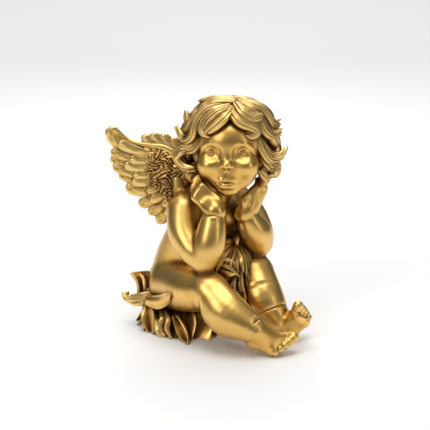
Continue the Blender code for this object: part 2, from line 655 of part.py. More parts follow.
def build():
    """The whole figurine as one object."""
    for old in list(bpy.data.objects):
        bpy.data.objects.remove(old)
    pieces = bpy.data.collections.new("cherub_figurine")
    bpy.context.scene.collection.children.link(pieces)

    flesh = fused(to_mesh("flesh", flesh_of_body, skull), FLESH_VOXEL, FLESH_SMOOTHING)
    press(flesh, eye_sockets())
    carving = to_mesh("carving", face_details, hands, feet, hair, seat, sash, wings)
    mesh = fused(joined(flesh, carving), CARVING_VOXEL, CARVING_SMOOTHING)
    outer_skin(mesh)
    cut_flat(mesh)
    mesh = thinned(mesh, TRIANGLES)
    untangle(mesh)
    mesh.name = "cherub_figurine"
    figure = bpy.data.objects.new("cherub_figurine", mesh)
    pieces.objects.link(figure)
    figure.data.materials.append(gold_paint())


build()
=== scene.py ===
"""Dresses the seated cherub figurine: carved flesh, hair, feathers and cloth under satin gold paint.

All shapes are worked out in pose units of 1 mm with whole numpy arrays and scaled to metres at the end. The
figure faces -Y, its left is +X, and the origin is on the flat underside, below the hips.
"""

from __future__ import annotations

import logging
import math
from dataclasses import dataclass
from enum import Enum
from typing import Callable, Iterable, Protocol, Sequence

import bpy
import numpy as np
from mathutils import Euler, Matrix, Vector

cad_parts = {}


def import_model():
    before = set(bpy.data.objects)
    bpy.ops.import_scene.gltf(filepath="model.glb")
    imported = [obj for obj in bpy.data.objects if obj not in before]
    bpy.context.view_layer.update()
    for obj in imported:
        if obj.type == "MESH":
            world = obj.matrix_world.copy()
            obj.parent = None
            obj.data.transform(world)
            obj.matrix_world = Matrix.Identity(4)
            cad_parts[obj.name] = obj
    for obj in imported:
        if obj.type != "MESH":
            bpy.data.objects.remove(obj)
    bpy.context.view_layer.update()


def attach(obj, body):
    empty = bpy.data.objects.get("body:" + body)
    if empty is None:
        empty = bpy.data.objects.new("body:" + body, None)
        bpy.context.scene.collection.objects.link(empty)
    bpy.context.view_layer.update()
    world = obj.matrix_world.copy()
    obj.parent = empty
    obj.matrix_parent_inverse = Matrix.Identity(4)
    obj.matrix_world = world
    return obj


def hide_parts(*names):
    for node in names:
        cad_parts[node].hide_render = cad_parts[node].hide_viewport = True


LOG = logging.getLogger("cherub")

MM = 0.001  # metres in one pose unit
FAR = 40.0  # field value where no shape is near
CLIP = 6.0  # field values are kept within this before they are evened
CAD_NODE = "cherub_figurine"
BODY = "root"

Point = tuple[float, float, float]
Ball = tuple[float, float, float, float]
Grid = np.ndarray
Colour = tuple[float, float, float]
Socket = bpy.types.NodeSocket
Profile = Callable[[Grid, Grid], tuple[Grid, Grid]]


class Side(Enum):
    """The figure's own right and left, as the sign of X."""

    RIGHT = -1
    LEFT = 1


@dataclass
class Surface:
    """A mesh in numpy arrays: corner places and four-cornered faces."""

    points: Grid
    quads: Grid

    @staticmethod
    def joined(parts: Iterable["Surface"]) -> "Surface":
        """Puts several surfaces into one.

        Args:
            parts: the surfaces, each kept as it is.

        Returns:
            One surface with the faces of them all.
        """
        points, quads, start = [], [], 0
        for part in parts:
            points.append(part.points)
            quads.append(part.quads + start)
            start += len(part.points)
        return Surface(np.vstack(points), np.vstack(quads))

    def moved(self, place: Callable[[Grid], Grid]) -> "Surface":
        """Carries every corner through a change of place.

        Args:
            place: takes and returns an array of points.

        Returns:
            The moved surface.
        """
        return Surface(place(self.points), self.quads).outward()

    def spans(self) -> Grid:
        """Crosses the diagonals of every face, which gives its normal times twice its area."""
        corner = self.points[self.quads]
        return np.cross(corner[:, 2] - corner[:, 0], corner[:, 3] - corner[:, 1])

    def gathered(self, values: Grid) -> Grid:
        """Adds up the values of the faces that meet at each corner.

        Args:
            values: one value per face.

        Returns:
            One sum per corner.
        """
        return sum(np.bincount(self.quads[:, k], values, len(self.points)) for k in range(4))

    def outward(self) -> "Surface":
        """Turns a closed surface's faces outward, if its enclosed volume comes out below zero."""
        if float((self.points[self.quads].mean(1) * self.spans()).sum()) < 0:
            return Surface(self.points, self.quads[:, ::-1])
        return self

    def grounded(self, reach: float = 0.0) -> "Surface":
        """Lays the corners that are lower than reach flat on the ground."""
        self.points[:, 2] = np.where(self.points[:, 2] < reach, 0.0, self.points[:, 2])
        return self

    def normals(self) -> Grid:
        """Averages the face normals at every corner.

        Returns:
            One unit vector per corner.
        """
        return unit(np.stack([self.gathered(axis) for axis in self.spans().T], 1))


class Part(Protocol):
    """A sub-assembly: the name of its piece and how its skin is worked out."""

    name: str

    def build(self) -> Surface:
        """Works out the skin in the figure's frame."""


def grid_faces(index: Grid) -> Grid:
    """Joins a grid of corner numbers into faces, each down a row, across a column and back up.

    Args:
        index: corner numbers as rows and columns.

    Returns:
        One row of four corners per face.
    """
    corners = index[:-1, :-1], index[1:, :-1], index[1:, 1:], index[:-1, 1:]
    return np.stack([corner.ravel() for corner in corners], 1)


def two_sided_faces(rows: int, columns: int) -> Grid:
    """Faces of a closed leaf: a top grid, the same grid turned over under it, and a rim between the two.

    Args:
        rows: rows of corners.
        columns: columns of corners.

    Returns:
        The faces, where the underside's corners follow those of the top.
    """
    index = np.arange(rows * columns).reshape(rows, columns)
    border = np.concatenate([index[0, :-1], index[:-1, -1], index[-1, :0:-1], index[:0:-1, 0], index[:1, 0]])
    top = grid_faces(index)
    rim = grid_faces(np.stack([border, border + index.size], 1))
    return np.vstack([top, top[:, ::-1] + index.size, rim])


def fan_faces(centre: int, ring: Grid) -> Grid:
    """Closes an even ring of corners with faces that meet in one corner, two of the ring's edges to a face.

    Args:
        centre: number of the corner in the middle.
        ring: numbers of the corners round it.

    Returns:
        The faces.
    """
    start = np.arange(0, len(ring), 2)
    after = (start + 2) % len(ring)
    return np.stack([np.full(len(start), centre), ring[start], ring[start + 1], ring[after]], 1)


def unit(vectors: Grid) -> Grid:
    """Scales vectors in the last axis to length 1.

    Args:
        vectors: any array whose last axis is x, y, z.

    Returns:
        The same array with every vector at length 1.
    """
    vectors = np.asarray(vectors, float)
    return vectors / np.maximum(np.linalg.norm(vectors, axis=-1, keepdims=True), 1e-9)


def curve_through(points: Sequence[Sequence[float]], count: int) -> Grid:
    """Runs a Catmull-Rom curve through points: each span is a cubic whose slopes are those of its neighbours.

    Args:
        points: the places that the curve passes.
        count: how many places come back, evenly timed.

    Returns:
        An array of count places.
    """
    knots = np.asarray(points, float)
    padded = np.vstack([2 * knots[0] - knots[1], knots, 2 * knots[-1] - knots[-2]])
    times = np.linspace(0, len(knots) - 1, count)
    i = np.minimum(times.astype(int), len(knots) - 2)
    t = (times - i)[:, None]
    a, b, c, d = (padded[i + k] for k in range(4))
    return 0.5 * (2 * b + (c - a) * t + (2 * a - 5 * b + 4 * c - d) * t**2 + (3 * b - a - 3 * c + d) * t**3)


def swelling(count: int, fullest: float, start: float, end: float) -> Grid:
    """Width along a strand: start at the root, 1 at the fullest place and end at the tip, on quarter sines.

    Args:
        count: how many stations.
        fullest: share of the length at which it is widest.
        start: width at the root.
        end: width at the tip.

    Returns:
        One factor per station.
    """
    t = np.linspace(0, 1, count)
    rise = start + (1 - start) * np.sin(np.clip(t / fullest, 0, 1) * math.pi / 2)
    fall = end + (1 - end) * np.cos(np.clip((t - fullest) / (1 - fullest), 0, 1) * math.pi / 2)
    return rise * fall


class Volume:
    """A field on a regular grid that is negative inside the shape, in which rounded shapes melt together."""

    def __init__(self, low: Point, high: Point, cell: float) -> None:
        """Sets up an empty field.

        Args:
            low: lowest corner of the grid.
            high: highest corner of the grid.
            cell: edge of a grid cell.
        """
        self.low = np.array(low, float)
        self.cell = cell
        self.shape = tuple(int(n) for n in np.ceil((np.array(high) - self.low) / cell) + 1)
        self.axes = [(self.low[i] + cell * np.arange(self.shape[i])).astype(np.float32) for i in range(3)]
        self.values = np.full(self.shape, FAR, np.float32)

    def _window(self, low: Grid, high: Grid) -> tuple[tuple[slice, slice, slice], list[Grid]]:
        """Finds the part of the grid in a box, with its x, y and z laid out for broadcasting.

        Args:
            low: lowest corner of the box.
            high: highest corner of the box.

        Returns:
            The slices of the grid, and its x, y and z there.
        """
        first = np.clip(np.floor((low - self.low) / self.cell).astype(int), 0, np.array(self.shape) - 1)
        last = np.clip(np.ceil((high - self.low) / self.cell).astype(int) + 1, 1, self.shape)
        cut = tuple(slice(int(a), int(max(b, a + 1))) for a, b in zip(first, last))
        x, y, z = (axis[part] for axis, part in zip(self.axes, cut))
        return cut, [x[:, None, None], y[None, :, None], z[None, None, :]]

    @staticmethod
    def melt(a: Grid, b: Grid, blend: float) -> Grid:
        """Joins two fields with a fillet: the smaller of the two, lowered where they are within blend.

        Args:
            a: the first field.
            b: the second field.
            blend: reach of the fillet.

        Returns:
            The joined field.
        """
        h = np.clip(0.5 + 0.5 * (b - a) / blend, 0, 1)
        return b + (a - b) * h - blend * h * (1 - h)

    @staticmethod
    def _bone(grid: list[Grid], first: Ball, last: Ball) -> Grid:
        """Distance to a rod with round ends whose radius runs evenly from one ball to the other.

        Args:
            grid: x, y and z laid out for broadcasting.
            first: ball at the start.
            last: ball at the end.

        Returns:
            The distance at every place, below zero inside.
        """
        a, b = np.array(first[:3]), np.array(last[:3])
        along = b - a
        length = float(along @ along) or 1e-6
        rel = [grid[i] - a[i] for i in range(3)]
        share = np.clip((rel[0] * along[0] + rel[1] * along[1] + rel[2] * along[2]) / length, 0, 1)
        square = sum((rel[i] - along[i] * share) ** 2 for i in range(3))
        return np.sqrt(square) - (first[3] + (last[3] - first[3]) * share)

    def limb(self, chain: Sequence[Ball], blend: float, smooth: int = 5) -> None:
        """Adds a rod whose middle line and radius run smoothly through balls, and melts it into the shape.

        Args:
            chain: balls as x, y, z and radius.
            blend: reach of the fillet with what is there already.
            smooth: straight pieces between two balls.
        """
        balls = curve_through(chain, smooth * (len(chain) - 1) + 1)
        reach = balls[:, 3].max() + blend + 2
        cut, _ = self._window(balls[:, :3].min(0) - reach, balls[:, :3].max(0) + reach)
        whole = np.full([part.stop - part.start for part in cut], FAR, np.float32)
        for one, two in zip(balls, balls[1:]):
            ends = np.array([one[:3], two[:3]])
            piece, grid = self._window(ends.min(0) - reach, ends.max(0) + reach)
            inner = tuple(slice(p.start - c.start, p.stop - c.start) for p, c in zip(piece, cut))
            whole[inner] = np.minimum(whole[inner], self._bone(grid, one, two))
        self.values[cut] = self.melt(self.values[cut], whole, blend)

    def _egg(self, centre: Point, radii: Point, margin: float) -> tuple[tuple[slice, slice, slice], Grid]:
        """Distance, near enough, to an ellipsoid along the grid's axes.

        Args:
            centre: its middle.
            radii: its three half sizes.
            margin: how far outside it is worked out.

        Returns:
            The slices of the grid, and the distance there.
        """
        middle, size = np.array(centre, float), np.array(radii, float)
        cut, grid = self._window(middle - size - margin, middle + size + margin)
        near = np.sqrt(sum(((grid[i] - middle[i]) / size[i]) ** 2 for i in range(3)))
        far = np.sqrt(sum(((grid[i] - middle[i]) / size[i] ** 2) ** 2 for i in range(3)))
        return cut, near * (near - 1) / np.maximum(far, 1e-4)

    def egg(self, centre: Point, radii: Point, blend: float) -> None:
        """Adds an ellipsoid along the grid's axes and melts it in.

        Args:
            centre: its middle.
            radii: its three half sizes.
            blend: reach of the fillet.
        """
        cut, egg = self._egg(centre, radii, blend + 2)
        self.values[cut] = self.melt(self.values[cut], egg.astype(np.float32), blend)

    def hollow(self, centre: Point, radii: Point, blend: float) -> None:
        """Takes an ellipsoid away with a rounded rim.

        Args:
            centre: its middle.
            radii: its three half sizes.
            blend: roundness of the rim.
        """
        cut, egg = self._egg(centre, radii, blend + 2)
        self.values[cut] = -self.melt(-self.values[cut], egg.astype(np.float32), blend)

    def push(self, centre: Point, radius: float, depth: float) -> None:
        """Presses a bell-shaped dimple, or a bump where depth is negative.

        Args:
            centre: middle of the dimple.
            radius: where the bell has fallen to a third.
            depth: how far the surface goes in.
        """
        middle = np.array(centre, float)
        cut, grid = self._window(middle - 2.6 * radius, middle + 2.6 * radius)
        square = sum((grid[i] - middle[i]) ** 2 for i in range(3))
        self.values[cut] += (depth * np.exp(-square / radius**2)).astype(np.float32)

    def crease(self, centre: Point, normal: Point, reach: float, width: float, depth: float) -> None:
        """Presses a line where a plane meets the surface, fading with distance from its middle.

        Args:
            centre: a point of the line.
            normal: normal of the plane.
            reach: how far the line runs before it fades.
            width: half width of the line.
            depth: how deep it goes.
        """
        middle, axis = np.array(centre, float), unit(normal)
        cut, grid = self._window(middle - 2.4 * reach, middle + 2.4 * reach)
        rel = [grid[i] - middle[i] for i in range(3)]
        height = rel[0] * axis[0] + rel[1] * axis[1] + rel[2] * axis[2]
        square = rel[0] ** 2 + rel[1] ** 2 + rel[2] ** 2
        mark = depth * np.exp(-((height / width) ** 2)) * np.exp(-square / reach**2)
        self.values[cut] += mark.astype(np.float32)

    def even(self, rounds: int) -> None:
        """Evens out kinks: a round takes a quarter, a half and a quarter of three neighbours along each axis.

        Args:
            rounds: how often this is done.
        """
        field = np.clip(self.values, -CLIP, CLIP)
        for axis in (0, 1, 2) * rounds:
            rows = np.moveaxis(field, axis, 0)
            rows[1:-1] = 0.25 * rows[:-2] + 0.5 * rows[1:-1] + 0.25 * rows[2:]
        self.values = field

    def cut_at_ground(self) -> None:
        """Takes away all that is below the ground."""
        self.values = np.maximum(self.values, -self.axes[2][None, None, :])

    def surface(self) -> Surface:
        """Skins the field: one corner in each cell that it crosses, one face round each crossed edge.

        The corner is the mean of the places where the field is zero on the cell's twelve edges.

        Returns:
            The closed skin, facing outward.
        """
        f = self.values
        inside = f < 0
        nx, ny, nz = (n - 1 for n in f.shape)
        steps = [(i, j, k) for i in (0, 1) for j in (0, 1) for k in (0, 1)]
        count = sum(inside[i:nx + i, j:ny + j, k:nz + k].astype(np.int8) for i, j, k in steps)
        cells = np.argwhere((count > 0) & (count < 8))
        index = np.full((nx, ny, nz), -1, np.int32)
        index[tuple(cells.T)] = np.arange(len(cells))
        total, crossings = np.zeros((len(cells), 3)), np.zeros(len(cells))
        for axis in range(3):
            others = [a for a in range(3) if a != axis]
            for u, v in ((0, 0), (0, 1), (1, 0), (1, 1)):
                near = cells.copy()
                near[:, others[0]] += u
                near[:, others[1]] += v
                far = near.copy()
                far[:, axis] += 1
                fa, fb = f[tuple(near.T)], f[tuple(far.T)]
                crossed = (fa < 0) != (fb < 0)
                share = np.where(crossed, fa / np.where(crossed, fa - fb, 1), 0)
                place = near.astype(float)
                place[:, axis] += share
                total += place * crossed[:, None]
                crossings += crossed
        points = self.low + self.cell * total / crossings[:, None]
        quads = []
        for axis in range(3):
            a, b = (axis + 1) % 3, (axis + 2) % 3
            lower = np.take(inside, range(f.shape[axis] - 1), axis)
            upper = np.take(inside, range(1, f.shape[axis]), axis)
            edges = np.argwhere(lower != upper)
            keep = (edges[:, a] > 0) & (edges[:, b] > 0)
            keep &= (edges[:, a] < f.shape[a] - 1) & (edges[:, b] < f.shape[b] - 1)
            edges = edges[keep]
            ring = []
            for da, db in ((1, 1), (0, 1), (0, 0), (1, 0)):
                cell = edges.copy()
                cell[:, a] -= da
                cell[:, b] -= db
                ring.append(index[tuple(cell.T)])
            faces = np.stack(ring, 1)
            outward = lower[tuple(edges.T)]
            faces[~outward] = faces[~outward][:, ::-1]
            quads.append(faces)
        return Surface(points, np.vstack(quads)).outward()


def shell(middle: Grid, thickness: Grid) -> Surface:
    """Gives a grid of places a thickness and closes its rim.

    Args:
        middle: places as rows, columns and x, y, z.
        thickness: full thickness at each place.

    Returns:
        A closed surface whose top faces along rows x columns.
    """
    normal = unit(np.cross(np.gradient(middle, axis=0), np.gradient(middle, axis=1)))
    offset = normal * 0.5 * thickness[..., None]
    points = np.concatenate([(middle + offset).reshape(-1, 3), (middle - offset).reshape(-1, 3)])
    return Surface(points, two_sided_faces(*middle.shape[:2])).outward()


def tube(path: Grid, facing: Grid, profile: Profile, sides: int) -> Surface:
    """Carries a closed profile along a path.

    The place of a corner is path(t) + across(t) * x(t, angle) + outward(t) * z(t, angle), where outward is
    the part of facing that is square to the path.

    Args:
        path: places along the middle.
        facing: which way the profile's top looks at each place, or one direction for all.
        profile: takes t as a column and the angle as a row, and gives x and z for every pair.
        sides: corners of the profile, an even number.

    Returns:
        A closed surface with both ends drawn to a point.
    """
    tangent = unit(np.gradient(path, axis=0))
    facing = np.broadcast_to(np.asarray(facing, float), path.shape)
    across = unit(np.cross(tangent, facing))
    outward = np.cross(across, tangent)
    t = np.linspace(0, 1, len(path))[:, None]
    angle = (np.arange(sides) * (2 * math.pi / sides))[None, :]
    x, z = profile(t, angle)
    body = path[:, None] + across[:, None] * x[..., None] + outward[:, None] * z[..., None]
    index = np.arange(len(path) * sides).reshape(len(path), sides)
    side = grid_faces(np.hstack([index, index[:, :1]]).T)
    first = fan_faces(index.size, index[0])[:, [0, 3, 2, 1]]
    last = fan_faces(index.size + 1, index[-1])
    points = np.vstack([body.reshape(-1, 3), path[0], path[-1]])
    return Surface(points, np.vstack([side, first, last])).outward()


def oval(half_width: Grid, half_height: Grid) -> Profile:
    """Profile of a plain oval.

    Args:
        half_width: half width at each station.
        half_height: half height at each station.

    Returns:
        A profile for tube().
    """
    def profile(_: Grid, angle: Grid) -> tuple[Grid, Grid]:
        """Cosine across and sine up, each times its half size."""
        return half_width[:, None] * np.cos(angle), -half_height[:, None] * np.sin(angle)
    return profile


@dataclass(frozen=True)
class HeadFrame:
    """Where the head is and how it turns."""

    centre: Point = (5.0, -36.5, 118.0)
    turn_deg: float = -45.0
    tilt_deg: float = 5.0

    def axes(self) -> Grid:
        """Works out the head's directions.

        Returns:
            Its left, forward and up directions as three rows.
        """
        turn, tilt = math.radians(self.turn_deg), math.radians(self.tilt_deg)
        level = math.cos(tilt)
        forward = np.array([math.sin(turn) * level, -math.cos(turn) * level, math.sin(tilt)])
        left = np.array([math.cos(turn), math.sin(turn), 0.0])
        return np.array([left, forward, np.cross(forward, left)])

    def place(self, points: Grid) -> Grid:
        """Carries points from the head's own left, forward and up to the figure.

        Args:
            points: places measured from the head's centre.

        Returns:
            The places in the figure.
        """
        return np.asarray(points, float) @ self.axes() + np.array(self.centre)


HEAD = HeadFrame()


@dataclass(frozen=True)
class Limbs:
    """Chains of balls that melt into the shape with one size of fillet."""

    blend: float
    chains: Sequence[Sequence[Ball]]


@dataclass
class Flesh:
    """Trunk, arms and legs: chains of rods with round ends, melted together, with pressed creases.

    In every group the figure's right comes before its left.
    """

    name: str = "cherub_body"
    cell: float = 0.74
    ground_snap: float = 0.35
    low: Point = (-44.0, -88.0, -1.2)
    high: Point = (46.0, 30.0, 108.0)
    trunk: Limbs = Limbs(6.0, (
        ((-8, 3, 32, 15.6), (-5.5, 0, 46, 14.8), (-3.5, -9, 64, 14.5), (-5, -17, 79, 12.5)),
        ((9, 3, 32, 16.5), (14, -5, 47, 17.4), (16.5, -13, 62, 16.8), (14, -19, 79, 12.5)),
        ((0, 4, 32, 17), (2.5, -0.5, 46, 18.2), (4.5, -9, 64, 17), (4, -17, 79, 13)),
        ((-15, -19, 83, 10), (3, -19, 85, 12), (21, -19, 82, 10)),
        ((4, -22, 88, 11), (4.5, -30, 100, 11)),
        ((-5, -13, 80, 9), (-7.5, -4, 88, 6), (-9, -2, 98, 4.5)),
        ((11, -13, 80, 9), (9.5, -4, 88, 6), (9, -2, 98, 4.5)),
    ))
    thighs: Limbs = Limbs(3.2, (
        ((-13, -2, 27, 16), (-20, -26, 32, 14.8), (-22, -46, 36, 12.4)),
        ((15, -2, 27, 16), (20.5, -26, 35, 15.2), (21.5, -41.5, 37.4, 13.2)),
    ))
    shins: Limbs = Limbs(2.2, (
        ((-22, -48, 36, 12), (-20.3, -61, 24.8, 13.9), (-16, -73, 19.5, 10.4), (-13.5, -79.5, 16.5, 7.6)),
        ((21.5, -43, 37.2, 12.6), (18, -54, 24.8, 13.7), (18.8, -62, 17, 10.4), (19.5, -66, 12.5, 8.4)),
    ))
    shin_ridge: Limbs = Limbs(3.0, (
        ((-20.4, -50, 45.6, 1.8), (-20.3, -65.6, 36.6, 2.0), (-16.5, -74.8, 27.2, 1.6),
         (-13.8, -80, 22, 1.2)),
    ))
    arms: Limbs = Limbs(3.6, (
        ((-20, -20, 83, 10.2), (-25.5, -27, 71, 9.8), (-26.5, -37, 61.5, 8.9), (-24.3, -43, 57.4, 8.6)),
        ((26, -20, 82, 10.5), (31.5, -28, 72, 10.4), (30.5, -37, 62.5, 9.6), (25.5, -42, 58.8, 9.4)),
    ))
    forearms: Limbs = Limbs(1.2, (
        ((-24, -44.5, 56.8, 8.8), (-21.5, -46.5, 66, 10.1), (-18.5, -46, 77, 8.6), (-16.4, -44.7, 84.5, 6.1),
         (-16, -44.2, 88, 5.4)),
        ((24.6, -42.5, 58.6, 9.8), (20.6, -45, 65, 10.6), (15.6, -44.7, 73, 8.4), (13.1, -44, 79, 6.1),
         (12.9, -44, 82, 5.4)),
    ))

    def build(self) -> Surface:
        """Melts the limbs into the trunk and presses the creases of a plump child.

        Returns:
            The skin, cut flat at the ground.
        """
        volume = Volume(self.low, self.high, self.cell)
        self._add(volume, self.trunk)
        volume.egg((3, -13, 48), (17, 17, 16.5), 6.0)  # belly
        for side in Side:
            volume.egg((side.value * 10, 7.5, 26.5), (12.8, 12.8, 13.2), 4.0)  # buttock
            volume.egg((4 + side.value * 10.5, -29, 76), (9.5, 6.5, 8), 5.0)  # breast
        for limbs in (self.thighs, self.shins, self.shin_ridge, self.arms, self.forearms):
            self._add(volume, limbs)
        volume.even(3)
        self._creases(volume)
        volume.cut_at_ground()
        return volume.surface().grounded(self.ground_snap)

    @staticmethod
    def _add(volume: Volume, limbs: Limbs) -> None:
        """Melts a group of limbs into the shape.

        Args:
            volume: the field of the shape.
            limbs: what is added.
        """
        for chain in limbs.chains:
            volume.limb(chain, limbs.blend)

    @staticmethod
    def _creases(volume: Volume) -> None:
        """Presses the rolls at wrists, knees and ankles, the line of the spine and two dimples beside it.

        A negative depth raises the roll of flesh beside a crease.

        Args:
            volume: the body's field.
        """
        marks = (
            ((-20.5, -51.0, 86.3), (0.2, 0.3, 1.0), 8.0, 0.7, 1.0),  # right wrist
            ((-20.5, -51.0, 84.4), (0.2, 0.3, 1.0), 8.0, 0.9, -0.5),
            ((8.5, -50.0, 81.4), (-0.1, 0.1, 1.0), 9.0, 0.7, 1.0),  # left wrist
            ((8.5, -50.0, 79.4), (-0.1, 0.1, 1.0), 9.0, 1.0, -0.8),
            ((12.5, -58.0, 36.0), (0.23, 0.58, 0.78), 7.0, 1.2, 0.6),  # left knee
            ((14.0, -67.5, 21.5), (0.0, 0.55, 0.8), 8.0, 0.8, 1.0),  # left ankle
            ((13.8, -66.8, 23.2), (0.0, 0.55, 0.8), 7.0, 0.9, -0.5),
            ((-13.5, -81.5, 23.0), (-0.3, 0.8, 0.45), 5.5, 0.8, 0.8),  # right ankle
            ((-13.8, -80.3, 24.2), (-0.3, 0.8, 0.45), 5.0, 0.9, -0.5),
            ((-31.0, -48.0, 25.0), (0.743, -0.669, 0.0), 8.0, 1.0, 1.2),  # outside of the right knee
            ((3.5, 12.0, 52.0), (1.0, 0.05, 0.0), 26.0, 1.6, 1.1),  # spine
            ((0.0, 25.0, 30.0), (1.0, 0.0, 0.0), 13.0, 1.1, 2.0),  # between the buttocks
        )
        for centre, normal, reach, width, depth in marks:
            volume.crease(centre, normal, reach, width, depth)
        for centre in ((-8.0, 20.5, 44.0), (9.0, 20.0, 44.0)):
            volume.push(centre, 3.0, 0.8)


@dataclass
class Hand:
    """A hand: rounded palm with a hollow, four fingers that curl towards the cheek, and a thumb.

    A finger is given by its place across the palm, from -1 to 1, and its share of the full length.
    """

    name: str
    wrist: Point
    knuckles: Point
    tips: Point
    thumb: tuple[Point, Point]
    spread: Point
    palm: Point
    palm_depth: float = 1.5
    curl: float = 2.2
    cell: float = 0.38
    fingers: Sequence[tuple[float, float]] = ((-1, 0.84), (-0.33, 1.0), (0.33, 0.98), (1, 0.86))

    def build(self) -> Surface:
        """Melts the fingers into the palm and marks their joints and nails.

        Returns:
            The hand with a stub of wrist inside the forearm.
        """
        wrist, knuckles, tips = (np.array(p, float) for p in (self.wrist, self.knuckles, self.tips))
        spread, palm = unit(self.spread), unit(self.palm)
        ends = np.array([wrist, knuckles, tips, *self.thumb])
        volume = Volume(tuple(ends.min(0) - 11), tuple(ends.max(0) + 10), self.cell)
        ahead = unit(tips - knuckles)
        stub = wrist - unit(knuckles - wrist) * 3.0
        for share, _ in self.fingers:
            root = knuckles + spread * (4.2 * share)
            volume.limb([(*stub, 4.6), (*wrist, 5.2), (*(wrist * 0.4 + root * 0.6), 4.1), (*root, 3.2)], 3.6)
        for share, long in self.fingers:
            root = knuckles + spread * (4.4 * share)
            tip = knuckles + (tips - knuckles) * long + spread * (3.7 * share) + palm * 0.6
            first = root + (tip - root) * 0.4 - palm * self.curl
            second = root + (tip - root) * 0.8 - palm * self.curl * 0.7
            volume.limb([(*root, 2.5), (*first, 2.2), (*second, 1.95), (*tip, 1.5)], 0.6, 4)
            for joint, radius in ((first, 2.2), (second, 1.9)):
                volume.crease(tuple(joint - palm * radius), tuple(ahead), 2.0, 0.3, 0.3)
            volume.crease(tuple(tip - palm * 1.3 - ahead * 0.9), tuple(ahead), 1.3, 0.22, 0.25)
        volume.even(2)
        base, end = (np.array(p, float) for p in self.thumb)
        volume.limb([(*wrist, 4.2), (*base, 3.3), (*(base * 0.5 + end * 0.5), 2.6), (*end, 1.8)], 1.8)
        middle = wrist * 0.35 + knuckles * 0.65
        volume.push(tuple(middle + palm * 4.2), 6.0, self.palm_depth)
        volume.even(3)
        return volume.surface()


@dataclass
class Foot:
    """A plump foot from the ankle over the heel to five round toes with nails."""

    name: str
    ankle: Point
    heel: Point
    front: Point
    width: Point
    ahead: Point
    big_toe: Side
    lift: float
    cell: float = 0.42
    ground_snap: float = 0.25

    def build(self) -> Surface:
        """Melts heel, instep, ball and toes together and presses the creases under the toes.

        Returns:
            The foot, cut flat at the ground.
        """
        ankle, heel, front = (np.array(p, float) for p in (self.ankle, self.heel, self.front))
        across, ahead = unit(self.width), unit(self.ahead)
        ends = np.array([ankle, heel, front + ahead * 7])
        volume = Volume(tuple(ends.min(0) - 12), tuple(ends.max(0) + 12), self.cell)
        volume.limb([(*ankle, 6.9), (*heel, 6.1)], 1.0)
        for share in (-1, 0, 1):
            volume.limb([(*heel, 5.3), (*(front + across * (4.6 * share)), 4.4)], 2.0)
            volume.limb([(*ankle, 6.1), (*(front + across * (3.6 * share)), 4.1)], 2.0)
        sole = unit(np.cross(across, ahead))
        sole = sole if float(sole @ (heel - ankle)) > 0 else -sole
        for i in range(5):
            share = (i - 2) / 2
            size = 3.35 - 0.3 * i
            root = front + across * (self.big_toe.value * -share * 7.4) + ahead * (1.6 - 0.5 * abs(share))
            tip = root + ahead * (5.7 - 0.55 * i) + np.array([0, 0, self.lift])
            volume.limb([(*root, size * 0.82), (*(tip - ahead * size * 0.2), size)], 0.8)
            under = root + ahead * 1.6 + sole * size * 0.7
            volume.crease(tuple(under), tuple(ahead), 2.4, 0.45, 0.5)
            nail = tip - sole * size * 0.75 + ahead * size * 0.35
            volume.crease(tuple(nail), tuple(ahead - sole * 0.4), size * 0.8, 0.25, 0.25)
        volume.push(tuple((heel + front) / 2 + sole * 4.6), 5.0, 1.0)
        volume.cut_at_ground()
        return volume.surface().grounded(self.ground_snap)


